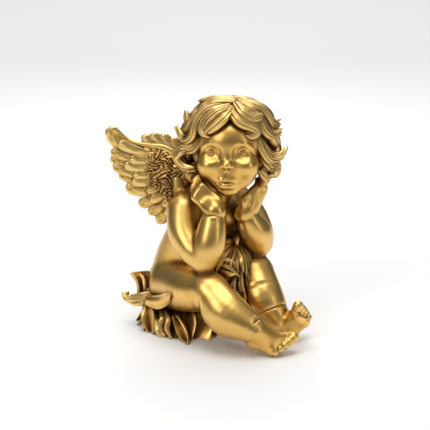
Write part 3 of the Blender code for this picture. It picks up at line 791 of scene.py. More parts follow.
@dataclass
class Face:
    """The head without its hair, measured in the head's frame: round cheeks, carved lids and parted lips."""

    name: str = "cherub_head"
    cell: float = 0.34
    back: float = -12.0
    frame: HeadFrame = HeadFrame(turn_deg=-48.0)

    def build(self) -> Surface:
        """Models the skull and cheeks, then the features on them.

        Returns:
            The head in the figure's frame.
        """
        volume = Volume((-24.5, -13, -27), (24.5, 27, 33), self.cell)
        volume.egg((0, -3, 7), (22.3, 23.8, 23.8), 1.0)  # skull
        volume.egg((0, 4.5, -6.2), (18.6, 15.8, 17.2), 4.0)  # jaw
        volume.egg((0, 8, 9.5), (16.5, 12.5, 13), 5.0)  # forehead
        volume.egg((0, 12.4, -13.2), (8.8, 6.6, 7.4), 5.0)  # muzzle
        volume.egg((0, 12.4, -20.2), (6.2, 5.6, 4.4), 3.5)  # chin
        for side in Side:
            volume.egg((side.value * 10.8, 11.8, -5.4), (8.4, 9.2, 8.4), 3.2)  # cheek
        for side in Side:
            self._eye(volume, side.value)
            self._ear(volume, side.value)
        self._nose(volume)
        self._mouth(volume)
        volume.even(1)
        volume.values = np.maximum(volume.values, self.back - volume.axes[1][None, :, None])
        return volume.surface().moved(self.frame.place)

    @staticmethod
    def _arc(points: Sequence[Point], radii: Point, count: int = 15) -> list[Ball]:
        """Turns a few places into a chain of balls whose radius runs start, middle, end.

        Args:
            points: places that the chain passes.
            radii: radius at the start, in the middle and at the end.
            count: how many balls.

        Returns:
            The balls.
        """
        path = curve_through(points, count)
        size = np.interp(np.linspace(0, 1, count), [0, 0.5, 1], radii)
        return [(*p, r) for p, r in zip(path.tolist(), size.tolist())]

    def _eye(self, volume: Volume, s: int) -> None:
        """Hollows the socket and sets in brow, ball, lids, iris ring and pupil.

        Args:
            volume: the head's field.
            s: -1 for the right one, 1 for the left one.
        """
        volume.hollow((s * 10.2, 21.6, 3.6), (6.2, 4.4, 5.4), 2.0)
        volume.hollow((s * 5.6, 20.9, 2.4), (1.7, 1.6, 2.8), 2.4)
        brow = self._arc(((s * 4.6, 17.2, 2.2), (s * 5.6, 18.2, 6.6), (s * 10.2, 18.2, 9.2),
                          (s * 14.8, 15.2, 6.6), (s * 16.2, 12.6, 2.6)), (0.5, 1.0, 0.5))
        volume.limb(brow, 1.6, 1)
        volume.egg((s * 10.2, 12.3, 3.2), (5.0, 5.3, 4.2), 0.7)
        upper = self._arc(((s * 5.8, 16.6, 2.6), (s * 7.4, 17.4, 4.8), (s * 10.2, 17.8, 6.1),
                           (s * 12.9, 16.2, 4.7), (s * 14.6, 14.2, 2.4)), (0.4, 0.75, 0.4))
        lower = self._arc(((s * 5.9, 16.6, 2.5), (s * 7.8, 17.2, 0.8), (s * 10.2, 17.2, -0.2),
                           (s * 12.8, 15.9, 0.8), (s * 14.5, 14.2, 2.3)), (0.35, 0.6, 0.35))
        volume.limb(upper, 0.5, 1)
        volume.limb(lower, 0.7, 1)
        volume.hollow((s * 10.1, 17.75, 3.1), (2.25, 0.85, 2.25), 0.25)
        volume.egg((s * 10.1, 16.95, 3.1), (1.6, 0.75, 1.6), 0.2)
        volume.hollow((s * 10.1, 17.8, 3.3), (0.8, 0.9, 0.8), 0.2)

    def _nose(self, volume: Volume) -> None:
        """Models bridge, tip, wings and nostrils.

        Args:
            volume: the head's field.
        """
        volume.limb([(0, 16.4, 7.0, 2.9), (0, 18.0, 2.4, 2.8), (0, 20.0, -2.4, 2.6)], 2.6)
        volume.egg((0, 21.4, -3.9), (3.2, 2.9, 2.5), 1.6)
        for s in (-1, 1):
            volume.egg((s * 2.9, 19.9, -4.8), (1.8, 2.1, 1.7), 1.2)
            volume.hollow((s * 1.5, 21.4, -6.4), (0.85, 1.2, 0.75), 0.5)

    def _mouth(self, volume: Volume) -> None:
        """Models both lips with a parted, dark opening, the groove above and the dip below.

        Args:
            volume: the head's field.
        """
        for s in (-1, 1):
            volume.egg((s * 2.4, 18.2, -13.3), (3.3, 2.7, 1.8), 1.0)
            volume.egg((s * 1.5, 18.0, -17.2), (3.1, 2.8, 2.4), 1.6)
            upper = (s * 3.4, 18.4, -13.7, 1.2), (s * 5.4, 17.5, -14.6, 0.9), (s * 6.9, 16.4, -15.4, 0.5)
            lower = (s * 3.0, 18.0, -17.2, 1.5), (s * 5.0, 17.2, -16.5, 1.0), (s * 6.7, 16.3, -15.6, 0.5)
            volume.limb(upper, 0.8)
            volume.limb(lower, 0.8)
        volume.egg((0, 19.8, -13.9), (1.5, 1.4, 1.3), 0.8)
        volume.crease((0, 19.7, -15.1), (0.0, -0.05, 1.0), 3.4, 0.4, 0.6)
        volume.push((0, 20.3, -15.2), 1.1, 0.2)
        volume.push((0, 20.8, -9.4), 1.4, 0.7)
        volume.push((0, 19.0, -21.4), 2.2, 0.6)
        for s in (-1, 1):
            volume.push((s * 3.6, 18.4, -21.0), 1.9, 0.5)
            volume.push((s * 7.6, 16.4, -15.6), 1.4, 0.45)

    @staticmethod
    def _ear(volume: Volume, s: int) -> None:
        """Models the shell of the ear, its hollow and its lobe.

        Args:
            volume: the head's field.
            s: -1 for the right one, 1 for the left one.
        """
        volume.egg((s * 19.8, -2.2, -2.6), (2.4, 4.4, 5.8), 0.8)
        volume.hollow((s * 22.6, -1.6, -2.2), (1.5, 2.6, 3.8), 0.5)
        volume.egg((s * 20.0, 0.4, -7.4), (1.9, 2.2, 2.3), 0.6)
        volume.egg((s * 20.6, 1.4, -2.6), (1.1, 1.2, 1.8), 0.4)


@dataclass(frozen=True)
class Lock:
    """One lock of hair: half width, places, how many strands, and how narrow it is at root and tip."""

    width: float
    points: Sequence[Point]
    strands: int = 4
    start: float = 0.6
    end: float = 0.72
    fullest: float = 0.45


@dataclass(frozen=True)
class Tier:
    """A ring of locks: how many, between which polar angles, half width, flare, and the sides it covers."""

    count: int
    first: float
    last: float
    width: float
    flare: float
    middle: float = 180.0
    reach: float = 98.0


@dataclass
class Hair:
    """Locks of carved strands over a grooved cap: a fringe round the face and tiers of flips behind."""

    name: str = "cherub_hair"
    crown: Point = (0.0, -3.5, 6.5)
    scalp: Point = (25.5, 26.5, 25.5)
    stations: int = 26
    sides: int = 14
    lean_deg: float = 9.0
    cap_rows: int = 56
    cap_columns: int = 144
    face_locks: Sequence[Lock] = (
        Lock(4.6, ((1, 11, 31.4), (-8, 16, 28.4), (-14.4, 15, 22.6), (-15.6, 15.5, 17), (-10.4, 18.3, 14.2))),
        Lock(3.4, ((1.4, 14, 29.8), (-2.6, 18.6, 25.4), (-8, 19.4, 20.4), (-12.4, 18.4, 17.2),
                   (-13, 18.4, 14.6)), 3),
        Lock(5.2, ((-2, 4, 32.8), (-14, 6, 29.3), (-21, 8, 21), (-23.5, 7, 12.5), (-28.5, 5, 10.5),
                   (-33.5, 3, 17.5)), 5),
        Lock(4.8, ((-6, 0, 33), (-15, 2, 30), (-19, 4, 24), (-22, 3, 19), (-26, 2.5, 21.5),
                   (-27.5, 2, 27.5))),
        Lock(4.8, ((4, 3, 33.2), (-7, 2, 33.2), (-14, 1, 30.4), (-20.5, 0, 26.4))),
        Lock(5.4, ((5, -4, 33.4), (-8, -5, 34), (-19.5, -5, 32.4)), 5, 0.7, 0.7),
        Lock(4.8, ((-17, 9, 11), (-22, 7, 5.5), (-29, 4, 4.5), (-33, 2, -2), (-28, 4, -7.5), (-21, 7.5, -8))),
        Lock(4.0, ((-20, 4, -6), (-25, 0, -12), (-22, -3, -19)), 3),
        Lock(4.2, ((1, 12, 31), (4, 17, 25.8), (8, 18, 22.4), (13.8, 16.6, 20), (17, 15, 17.2),
                   (14.4, 16.8, 14.2), (10.6, 18.6, 15))),
        Lock(3.8, ((4, 9, 33), (7.4, 14.5, 29), (12.6, 15.2, 25.2), (17.4, 12.6, 25.4), (19, 10.4, 28)), 3),
        Lock(5.2, ((6, 6, 33), (14, 9, 29.5), (19.4, 8.4, 22), (22.6, 7, 16), (27, 4.5, 13.6),
                   (32, 2, 16.5)), 5),
        Lock(5.4, ((4, 2, 33.6), (15, 4, 31.5), (23, 3, 26.5), (26.5, 1, 20), (31, -1, 21.5)), 5),
        Lock(5.0, ((17, 10, 14), (20.6, 8.5, 6), (25.4, 6, -0.5), (31.5, 3.5, 0), (35.5, 1, 5.5)), 5),
        Lock(4.6, ((20, 7, 1), (24.6, 4, -4.4), (29, 2, -7.4), (29, 1, -11.6), (24, 1, -13.6))),
        Lock(4.0, ((19, 4, -8), (23, 0, -14), (20, -3, -20)), 3),
    )
    tiers: Sequence[Tier] = (
        Tier(8, 3, 56, 6.8, 3.4), Tier(9, 30, 82, 6.6, 4.8), Tier(9, 56, 108, 6.2, 5.4),
        Tier(8, 86, 130, 5.4, 4.0, 180, 90),
    )

    def build(self) -> Surface:
        """Lays the cap and every lock.

        Returns:
            The hair in the figure's frame.
        """
        parts = [self._cap()]
        for lock in self.face_locks:
            parts += self._strands(curve_through(lock.points, self.stations), lock)
        for row, tier in enumerate(self.tiers):
            for i in range(tier.count):
                side = tier.middle - tier.reach + 2 * tier.reach * (i + 0.5 * (row % 2)) / (tier.count - 0.5)
                lean, curl = (self.lean_deg, 9.0) if i % 2 else (-self.lean_deg, 4.0)
                path = self._over_scalp((side - lean, tier.first), (side + lean, tier.last), 1.2, tier.flare,
                                        lean, curl)
                parts += self._strands(path, Lock(tier.width, (), 4, 0.5, 0.62))
        return Surface.joined(parts).moved(HEAD.place)

    def _scalp_point(self, side: Grid, polar: Grid, lift: Grid) -> Grid:
        """Places above the scalp, by the angle from the face to the left and the angle from the crown.

        Args:
            side: angle round the head in degrees.
            polar: angle from the crown in degrees.
            lift: height over the scalp.

        Returns:
            The places in the head's frame.
        """
        phi, theta = np.radians(side), np.radians(polar)
        aim = np.stack([np.sin(theta) * np.sin(phi), np.sin(theta) * np.cos(phi), np.cos(theta)], -1)
        reach = 1 / np.sqrt(((aim / np.array(self.scalp)) ** 2).sum(-1))
        return np.array(self.crown) + aim * (reach + lift)[..., None]

    def _over_scalp(self, start: tuple[float, float], end: tuple[float, float], lift: float, flare: float,
                    swing: float, curl: float) -> Grid:
        """Path of a lock that swings sideways in one S, flares at its end and curls back up.

        Args:
            start: side and polar angle of its root.
            end: side and polar angle of its tip.
            lift: height over the scalp at the root.
            flare: how much higher the tip is.
            swing: sideways reach of the S in degrees.
            curl: how far the tip turns back up in degrees.

        Returns:
            Places along the lock.
        """
        t = np.linspace(0, 1, self.stations)
        side = start[0] + (end[0] - start[0]) * t + swing * np.sin(2 * math.pi * t)
        late = np.maximum(0.0, t - 0.65) ** 2 / 0.1225
        polar = start[1] + (end[1] - start[1]) * t - curl * late
        return self._scalp_point(side, polar, lift + flare * t**2.5)

    def _strands(self, path: Grid, lock: Lock) -> list[Surface]:
        """Splits a lock into strands side by side, raised in the middle, that end one after the other.

        Args:
            path: middle line of the lock.
            lock: its width, narrowing and number of strands.

        Returns:
            One closed surface per strand.
        """
        outward = unit(path - np.array(self.crown))
        across = unit(np.cross(np.gradient(path, axis=0), outward))
        width = lock.width * swelling(len(path), lock.fullest, lock.start, lock.end)
        t = np.linspace(0, 1, len(path))
        radius = 1.18 * width / lock.strands * np.sqrt(np.clip((1.0 - t) / 0.1, 0.3, 1))
        parts = []
        for i in range(lock.strands):
            share = 2 * (i + 0.5) / lock.strands - 1
            wave = 0.07 * np.sin(5 * t + 2.1 * i) * lock.width * t
            aside = width * share * 0.92 * (1 - 0.5 * t**3) + wave
            lift = 0.3 * width * (1 - share**2) - 0.5 + 0.3 * (i % 2) + 0.15 * t**2 * math.sin(2.7 * i)
            strand = path + across * aside[:, None] + outward * lift[:, None]
            keep = len(path) - (i * 2) % 3
            wide = radius[-keep:][:, None] * 1.15

            def profile(t: Grid, angle: Grid) -> tuple[Grid, Grid]:
                """An oval with three soft grooves that wander along the strand.

                Args:
                    t: share of the length, as a column.
                    angle: angle round the middle, as a row.

                Returns:
                    Place across and place outward.
                """
                x = np.cos(angle) + 0 * t
                ridge = 1 - 0.3 * np.abs(np.sin(math.pi * (1.5 * x + 0.2 * np.sin(6 * t + i)))) ** 0.7
                return wide * x, -1.65 * wide * ridge * np.sin(angle)
            parts.append(tube(strand[:keep], outward[:keep], profile, self.sides))
        return parts

    def _cap(self) -> Surface:
        """The mass under the locks: an egg-shaped shell whose radius has waved strand grooves.

        Returns:
            The closed shell.
        """
        polar = np.linspace(0.5, 150, self.cap_rows)[:, None]
        side = np.linspace(-180, 180, self.cap_columns + 1)[None, :-1]
        wave = side + 14 * np.sin(np.radians(3 * polar)) + 0 * polar
        groove = 0.9 * np.abs(np.sin(np.radians(wave * 9))) ** 0.7
        brow = (np.cos(np.radians(side)) - 0.35) * (polar > 40) * (polar - 40) / 30
        lift = -0.6 + groove - 15.0 * np.clip(brow, 0, 1)
        side, polar = np.broadcast_arrays(side, polar)
        faces = [self._scalp_point(side, polar, high) for high in (lift, np.full(lift.shape, -16.0))]
        index = np.arange(lift.size).reshape(lift.shape)
        wrapped = np.hstack([index, index[:, :1]])
        quads = grid_faces(wrapped)
        top, rim = (np.stack([row, row + index.size]) for row in (wrapped[0], wrapped[-1]))
        points = np.vstack([face.reshape(-1, 3) for face in faces])
        under = quads[:, ::-1] + index.size
        return Surface(points, np.vstack([quads, under, grid_faces(rim), grid_faces(top.T)])).outward()


@dataclass(frozen=True)
class Feather:
    """One feather: half width and the places it passes, given out and up in the wing's own plane."""

    width: float
    places: Sequence[tuple[float, float]]


@dataclass
class Wing:
    """A wing: rounded leading edge, a fan of broad round-ended feathers, coverts and soft curly ruffles.

    The leading edge, like the feathers, runs through places given out and up in the wing's own plane.
    """

    name: str
    side: Side
    root: Point = (10.0, 0.0, 92.0)
    sweep_deg: float = 45.0
    bow: float = 0.0008
    arm: Sequence[tuple[float, float]] = (
        (-7, -8), (-7, 8), (-3, 20), (6, 26.5), (16, 28), (24, 29.2), (30.4, 31.8), (36.6, 37.6),
        (40.4, 41.6),
    )
    feathers: Sequence[Feather] = (
        Feather(4.9, ((12, 21.5), (26, 25.4), (37.2, 31.0), (40.8, 40.0))),
        Feather(3.4, ((8, 18), (24, 18.6), (34, 21.2), (40.6, 24.6))),
        Feather(3.2, ((8, 14), (23, 13.6), (33.4, 16.0), (41, 19.6))),
        Feather(3.3, ((8, 10), (22, 8.6), (31.6, 10.6), (39.6, 14.6))),
        Feather(3.3, ((7, 6), (20, 4.0), (28.4, 5.4), (35.6, 9.2))),
        Feather(4.4, ((4, 2), (14, -0.6), (22.6, -1.8), (31.6, 0.8))),
        Feather(3.9, ((2, -2), (9, -5), (16.4, -9.2), (23.6, -11.4))),
        Feather(3.5, ((0, -5), (5, -9.6), (11, -14.2), (17.4, -17))),
        Feather(4.4, ((-2, -8), (1.6, -12.8), (6.4, -18.2), (11.6, -23.8))),
    )
    crest: Sequence[Feather] = (
        Feather(3.4, ((6, 24), (13, 28.6), (20.8, 33.6))), Feather(3.2, ((3, 24), (8.4, 30), (15, 35))),
        Feather(3.6, ((-2, 22), (3, 29), (8.6, 34.6))), Feather(3.6, ((-5, 18), (-2, 26.6), (2.4, 32.6))),
        Feather(3.4, ((-8, 14), (-6.6, 22), (-3, 29))),
    )
    covert_width: float = 3.3
    ruffle_grid: int = 116

    def build(self) -> Surface:
        """Lays the arm, the ruffles and, on both faces of the wing, every feather.

        Returns:
            The wing in the figure's frame.
        """
        parts = [self._arm(), self._ruffles()]
        for i, feather in enumerate(self.feathers):
            path = self._on_wing(curve_through(feather.places, 40), 0.9 - 0.22 * i + 0.5 * (i % 2))
            parts.append(self._vane(path, feather.width, 1, 1.9, 24, 2.5))
        for feather in self.crest:
            for face in (-1, 1):
                path = self._on_wing(curve_through(feather.places, 20), face * 1.2 - 1.0)
                parts.append(self._vane(path, feather.width, face, 1.3, 16, 2.0))
        for i, feather in enumerate(self.feathers):
            flat = curve_through(feather.places, 40)[: 25 - 2 * (i % 2)]
            for face in (-1, 1):
                rise = face * (2.2 + 0.6 * np.linspace(0, 1, 22) ** 2)
                path = self._on_wing(curve_through(flat[::6], 22), rise)
                parts.append(self._vane(path, self.covert_width, face, 1.2, 16, 2.0))
        return Surface.joined(parts)

    def _axes(self) -> tuple[Grid, Grid, Grid]:
        """The wing's outward, up and front directions.

        Returns:
            Three unit vectors.
        """
        sweep, s = math.radians(self.sweep_deg), self.side.value
        outward = np.array([s * math.sin(sweep), math.cos(sweep), 0.0])
        return outward, np.array([0, 0, 1.0]), np.array([s * math.cos(sweep), -math.sin(sweep), 0.0])

    def _on_wing(self, flat: Grid, proud: Grid | float) -> Grid:
        """Places given out and up in the wing's own plane, which bows back towards the tips.

        Args:
            flat: out and up in the last axis.
            proud: height in front of the plane.

        Returns:
            The places in the figure's frame.
        """
        outward, upward, front = self._axes()
        out, up = flat[..., 0:1], flat[..., 1:2]
        bow = -self.bow * (np.maximum(out, 0) ** 2 + 0.5 * up**2)
        root = np.array([self.side.value * self.root[0], self.root[1], self.root[2]])
        lift = np.broadcast_to(np.asarray(proud, float), flat.shape[:-1])[..., None]
        return root + outward * out + upward * up + front * (lift + bow)

    def _arm(self) -> Surface:
        """The leading edge, thick at the shoulder and thin at the tip.

        Returns:
            The closed tube.
        """
        path = self._on_wing(curve_through(self.arm, 60)[:55], 0.4)
        thick = np.interp(np.linspace(0, 1, 55), [0, 0.27, 0.55, 0.97, 1], [3.8, 3.2, 1.6, 1.1, 0.6])
        return tube(path, self._axes()[2], oval(thick, thick * 0.95), 24)

    def _ruffles(self) -> Surface:
        """The soft curly mass over the shoulder: a cushion whose height carries two sets of ridges.

        Each set is a folded sine of one direction, bent by a sine of the other, so the ridges curl and cross.

        Returns:
            The closed cushion.
        """
        span = np.linspace(-1, 1, self.ruffle_grid)
        v, u = np.meshgrid(span, span)
        out, up = 6.0 + 18.0 * v, 7.5 + 19.0 * u + 5.5 * v - 3.0 * u * v
        edge = np.clip(1 - np.abs(u) ** 3.5, 0, 1) * np.clip(1 - np.abs(v) ** 3.5, 0, 1)
        a = 0.62 * out + 1.2 * np.sin(0.5 * up + 1) + 0.9 * np.sin(0.31 * up - 0.4 * out)
        b = 0.62 * up + 1.2 * np.sin(0.47 * out + 2) + 0.8 * np.sin(0.37 * out + 0.5 * up)
        curls = 0.75 * np.abs(np.sin(a + 2.0 * np.sin(0.9 * b))) ** 0.8
        curls = curls + 0.6 * np.abs(np.sin(1.9 * b + 1.6 * np.sin(1.2 * a))) ** 0.7
        fine = 0.3 * np.abs(np.sin(3.1 * a + 2.2 * np.sin(2.3 * b))) ** 0.8
        high = np.sqrt(edge) * (1.3 + 0.7 * (1 - v) + (1.9 - 0.3 * v) * (curls + fine))
        flat = np.stack([out, up], -1)
        points = np.concatenate([self._on_wing(flat, sign * high).reshape(-1, 3) for sign in (1, -1)])
        return Surface(points, two_sided_faces(*out.shape)).outward()

    def _vane(self, path: Grid, width: float, face: int, height: float, sides: int,
              grooves: float) -> Surface:
        """Sweeps a puffed blade with a round end, a few long grooves and a soft ripple across.

        Args:
            path: places along the quill.
            width: half width.
            face: 1 for the wing's front, -1 for its back.
            height: half thickness.
            sides: corners round the blade.
            grooves: half waves of the grooves in half the width.

        Returns:
            The closed blade.
        """
        t = np.linspace(0, 1, len(path))
        length = np.linalg.norm(np.diff(path, axis=0), axis=1).sum()
        tip = min(0.6, 1.15 * width / length)
        end = np.sqrt(np.clip(1 - (np.maximum(t - 1 + tip, 0) / tip) ** 2, 0.02, 1))
        wide = (width * np.interp(t, [0, 0.45, 1], [0.5, 0.95, 1.0]) * end)[:, None]
        high = (height * np.interp(t, [0, 0.5, 1], [0.6, 1.0, 0.9]) * np.sqrt(end))[:, None]

        def profile(t: Grid, angle: Grid) -> tuple[Grid, Grid]:
            """An oval with grooves along the blade and a ripple that runs out from the quill.

            Args:
                t: share of the length, as a column.
                angle: angle round the middle, as a row.

            Returns:
                Place across and place outward.
            """
            x = np.cos(angle) + 0 * t
            groove = 1 - 0.45 * np.abs(np.sin(grooves * math.pi * (x + 0.16 * np.sin(8 * t)))) ** 0.7
            ripple = 0.12 * np.sin(13 * t + 4 * np.abs(x))
            return wide * x, -high * (groove + ripple) * np.sin(angle)
        return tube(path, self._axes()[2] * face, profile, sides)


@dataclass
class Drapery:
    """The cloth: a pleated heap under the figure, a band and flaps round the hips, and folds in the lap."""

    name: str = "seat_cloth"
    centre: tuple[float, float] = (-1.0, -6.5)
    radius: float = 33.5
    top: float = 21.0
    pleats: int = 21
    depth: float = 3.4
    heap_rows: int = 80
    heap_columns: int = 460

    def build(self) -> Surface:
        """Models the heap and every fold.

        Returns:
            The cloth in the figure's frame.
        """
        return Surface.joined([self._heap(), *self._band(), *self._flaps(), *self._lap()]).grounded()

    def _heap(self) -> Surface:
        """The mound: its pleats swirl downwards and each leans over the next like a breaking wave.

        Returns:
            The closed mound, with a lid on top and a flat base.
        """
        t = (np.arange(1, self.heap_rows + 1) / self.heap_rows)[:, None]
        turn = (2 * math.pi * np.arange(self.heap_columns) / self.heap_columns)[None, :]
        fold = turn * self.pleats + 3.4 * t + 1.5 * np.sin(2 * turn) + 1.1 * np.sin(5 * turn + 2)
        fold = fold + 0.7 * np.sin(3 * t * math.pi + 4 * turn)
        crest, slope = np.cos(fold), np.sin(fold)
        tall = 0.75 + 0.25 * np.sin(3 * turn + 0.6) + 0.2 * np.sin(7 * turn)
        reach = self.radius * (0.35 + 0.65 * t) + self.depth * tall * crest * t**1.2
        reach = reach + 1.6 * np.sin(3 * turn + 1) + 0.5 * np.cos(2 * fold + 3 * t) * t
        bow = np.sin(math.pi * np.minimum(1.0, t * 1.05))
        height = self.top * (1 - t**1.9) + (self.depth * 0.9 * tall * crest + 0.4 * np.cos(2 * fold)) * bow
        lean = turn + (0.9 * crest - 0.75 * slope) / self.pleats * np.minimum(1, 1.6 * t)
        x = self.centre[0] + reach * np.cos(lean)
        y = self.centre[1] + reach * np.sin(lean)
        rings = np.stack([x, y, np.maximum(height, 0.0)], -1)
        lowest = rings[-1:].copy()
        lowest[..., 2] = 0.0
        rings = np.concatenate([rings, lowest], 0)
        index = np.arange(rings.shape[0] * rings.shape[1]).reshape(rings.shape[:2])
        side = grid_faces(np.hstack([index, index[:, :1]]))
        lid = fan_faces(index.size, index[0])
        base = fan_faces(index.size + 1, index[-1])[:, [0, 3, 2, 1]]
        points = np.vstack([rings.reshape(-1, 3), rings[0].mean(0), [*self.centre, 0.0]])
        return Surface(points, np.vstack([side, lid, base])).outward()

    @staticmethod
    def _fold(points: Sequence[Point], facing: Grid, width: float, thick: float, count: int = 32,
              fullest: float = 0.45, start: float = 0.55, end: float = 0.45, pleats: int = 3) -> Surface:
        """One fold of cloth along a path, with soft pleats along it.

        Args:
            points: places that it passes.
            facing: which way its top looks.
            width: half width where it is widest.
            thick: half thickness where it is thickest.
            count: stations along it.
            fullest: share of the length at which it is widest.
            start: share of the width at its root.
            end: share of the width at its tip.
            pleats: half waves across it.

        Returns:
            The closed fold.
        """
        path = curve_through(points, count)
        wide = (width * swelling(count, fullest, start, end))[:, None]
        high = (thick * swelling(count, 0.5, 0.6, min(end, 0.5)))[:, None]

        def profile(t: Grid, angle: Grid) -> tuple[Grid, Grid]:
            """An oval whose height carries the pleats.

            Args:
                t: share of the length, as a column.
                angle: angle round the middle, as a row.

            Returns:
                Place across and place outward.
            """
            x = np.cos(angle) + 0 * t
            ridge = 1 + 0.22 * np.cos(pleats * math.pi * x + 1.5 * t)
            return wide * x, -high * np.sin(angle) * ridge
        return tube(path, facing, profile, 20)

    @staticmethod
    def _sheet(one: Sequence[Point], two: Sequence[Point], bulge: Point, ripple: float = 0.5, rows: int = 34,
               columns: int = 22) -> Surface:
        """A leaf of cloth between two edges, with ripples along it and a rolled rim.

        Args:
            one: places along the first edge.
            two: places along the other edge.
            bulge: how far the middle line stands out, in x, y and z.
            ripple: strength of the ripples.
            rows: stations along the edges.
            columns: stations from edge to edge.

        Returns:
            The closed leaf.
        """
        first, second = curve_through(one, rows), curve_through(two, rows)
        v = np.linspace(0, 1, columns)
        u = np.linspace(0, 1, rows)[:, None]
        cup = (4 * v * (1 - v))[None, :] + ripple * 0.4 * np.cos(3.2 * math.pi * v + 2.5 * u)
        middle = first[:, None] * (1 - v)[None, :, None] + second[:, None] * v[None, :, None]
        middle = middle + cup[..., None] * np.array(bulge)
        rim = np.maximum(np.abs(2 * v - 1) ** 8, np.abs(2 * u - 1) ** 12)
        return shell(middle, 1.3 + 0.8 * rim)

    def _band(self) -> list[Surface]:
        """Three folds round the back of the hips.

        Returns:
            One surface per fold.
        """
        parts = []
        for row in range(3):
            low, wave = 4.0 * row, 1.5 * math.sin(2.1 * row)
            band = [(-25, 8, 23 - low), (-24, 13 + wave, 23 - low), (-17, 24, 24 + wave - low),
                    (0, 26.5, 25 - low), (17, 24.5, 24 - wave - low), (28, 12, 24 - low), (31, -2, 25 - low),
                    (30, -14, 29 - low)]
            facing = curve_through(band, 110) * np.array([1.0, 1.0, 0.0]) + np.array([0, 0, 12.0])
            parts.append(self._fold(band, facing, 3.0, 2.3 - 0.3 * row, 110, 0.5, 0.6, 1.0))
        return parts

    def _flaps(self) -> list[Surface]:
        """The flap over the hip, the upright flaring curl, the rolled end behind it and the small scraps.

        Returns:
            One surface per piece of cloth.
        """
        down = np.array([-0.6, -0.7, 0.3])
        hip = self._sheet(
            ((-27, 9, 17), (-29.8, 6, 16.4), (-30.5, -2, 16), (-30.2, -8.7, 17), (-30.1, -15.6, 21.2),
             (-31, -20.2, 26)),
            ((-25, 9, 21), (-28.3, 4.8, 21.4), (-29.5, -2.9, 23.9), (-30.2, -9.8, 26.4), (-31.2, -16, 29.4),
             (-31, -21.3, 31.3)),
            (-1.2, -1.2, 0.3), 0.25)
        hip.points += 5.0 * down
        curl = self._fold(((-25, -9, 31), (-28, -14, 31), (-30.4, -18.6, 32.6), (-31, -22.6, 31)),
                          down, 1.8, 1.4)
        upright = self._sheet(
            ((-23, 8.7, 20), (-22.1, 10.7, 25.6), (-20.4, 13.2, 30), (-18, 14.3, 34)),
            ((-29, 15, 21), (-27.8, 17.2, 26), (-27.8, 19.6, 29.4), (-28.8, 23, 33)),
            (2.4, 2.7, -0.4), 0.35)
        inner = self._fold(((-26.7, 10.8, 21), (-25.4, 12.6, 26.6), (-24.8, 14.7, 30.1), (-25.6, 17.4, 33)),
                           down, 1.4, 1.2)
        roll = self._fold(
            ((-24, 0, 21), (-28, 4.6, 20.8), (-30.6, 9, 19), (-33.2, 15, 17.6), (-35.2, 19.6, 18.4),
             (-35, 21, 22)),
            down, 2.9, 2.6, 40, 0.5, 0.7, 0.8)
        ridges = (
            (((-25, 3, 24), (-29.3, 8.7, 22), (-31.6, 13.1, 20.6), (-34.1, 17, 20)), 1.7, 1.6),
            (((-27, 0, 18.6), (-31.6, 7, 17), (-34, 13, 15.6), (-35.4, 17, 16.4)), 1.9, 1.6),
        )
        cup = self._sheet(
            ((-32, 6, 17.5), (-36, 3.6, 11), (-37, 1.4, 5.2), (-35.6, -2.6, 0.3)),
            ((-31, -1.6, 18.6), (-33.7, -6, 15.2), (-34.6, -9, 9.6), (-35.6, -9.6, 1)),
            (2.2, 2.2, -0.3), 0.5)
        scraps = (
            (((-29, -7.9, 14), (-31.6, -12.6, 11), (-33.6, -13, 6.9), (-33, -17, 1)), 2.3, 2.0),
            (((-28, -11, 15), (-30, -16.6, 11), (-32.4, -18, 6), (-32.6, -22.4, 0.8)), 2.0, 1.8),
            (((-31, -4, 12), (-34, -11, 6), (-34.4, -14, 2), (-33, -18, 0.8)), 2.6, 2.0),
        )
        leaf = self._sheet(
            ((-28, -18, 13.5), (-30, -24, 5.6), (-31, -30, 1.6), (-32, -37.4, 0.4)),
            ((-26, -20.5, 14.5), (-26.4, -28, 9), (-28, -33.6, 4), (-31.6, -38, 0.5)),
            (1.4, 1.6, -0.4), 0.3)
        behind, before = ([self._fold(points, down, width, thick) for points, width, thick in rows]
                          for rows in (ridges, scraps))
        return [hip, curl, upright, inner, roll, *behind, cup, *before, leaf]

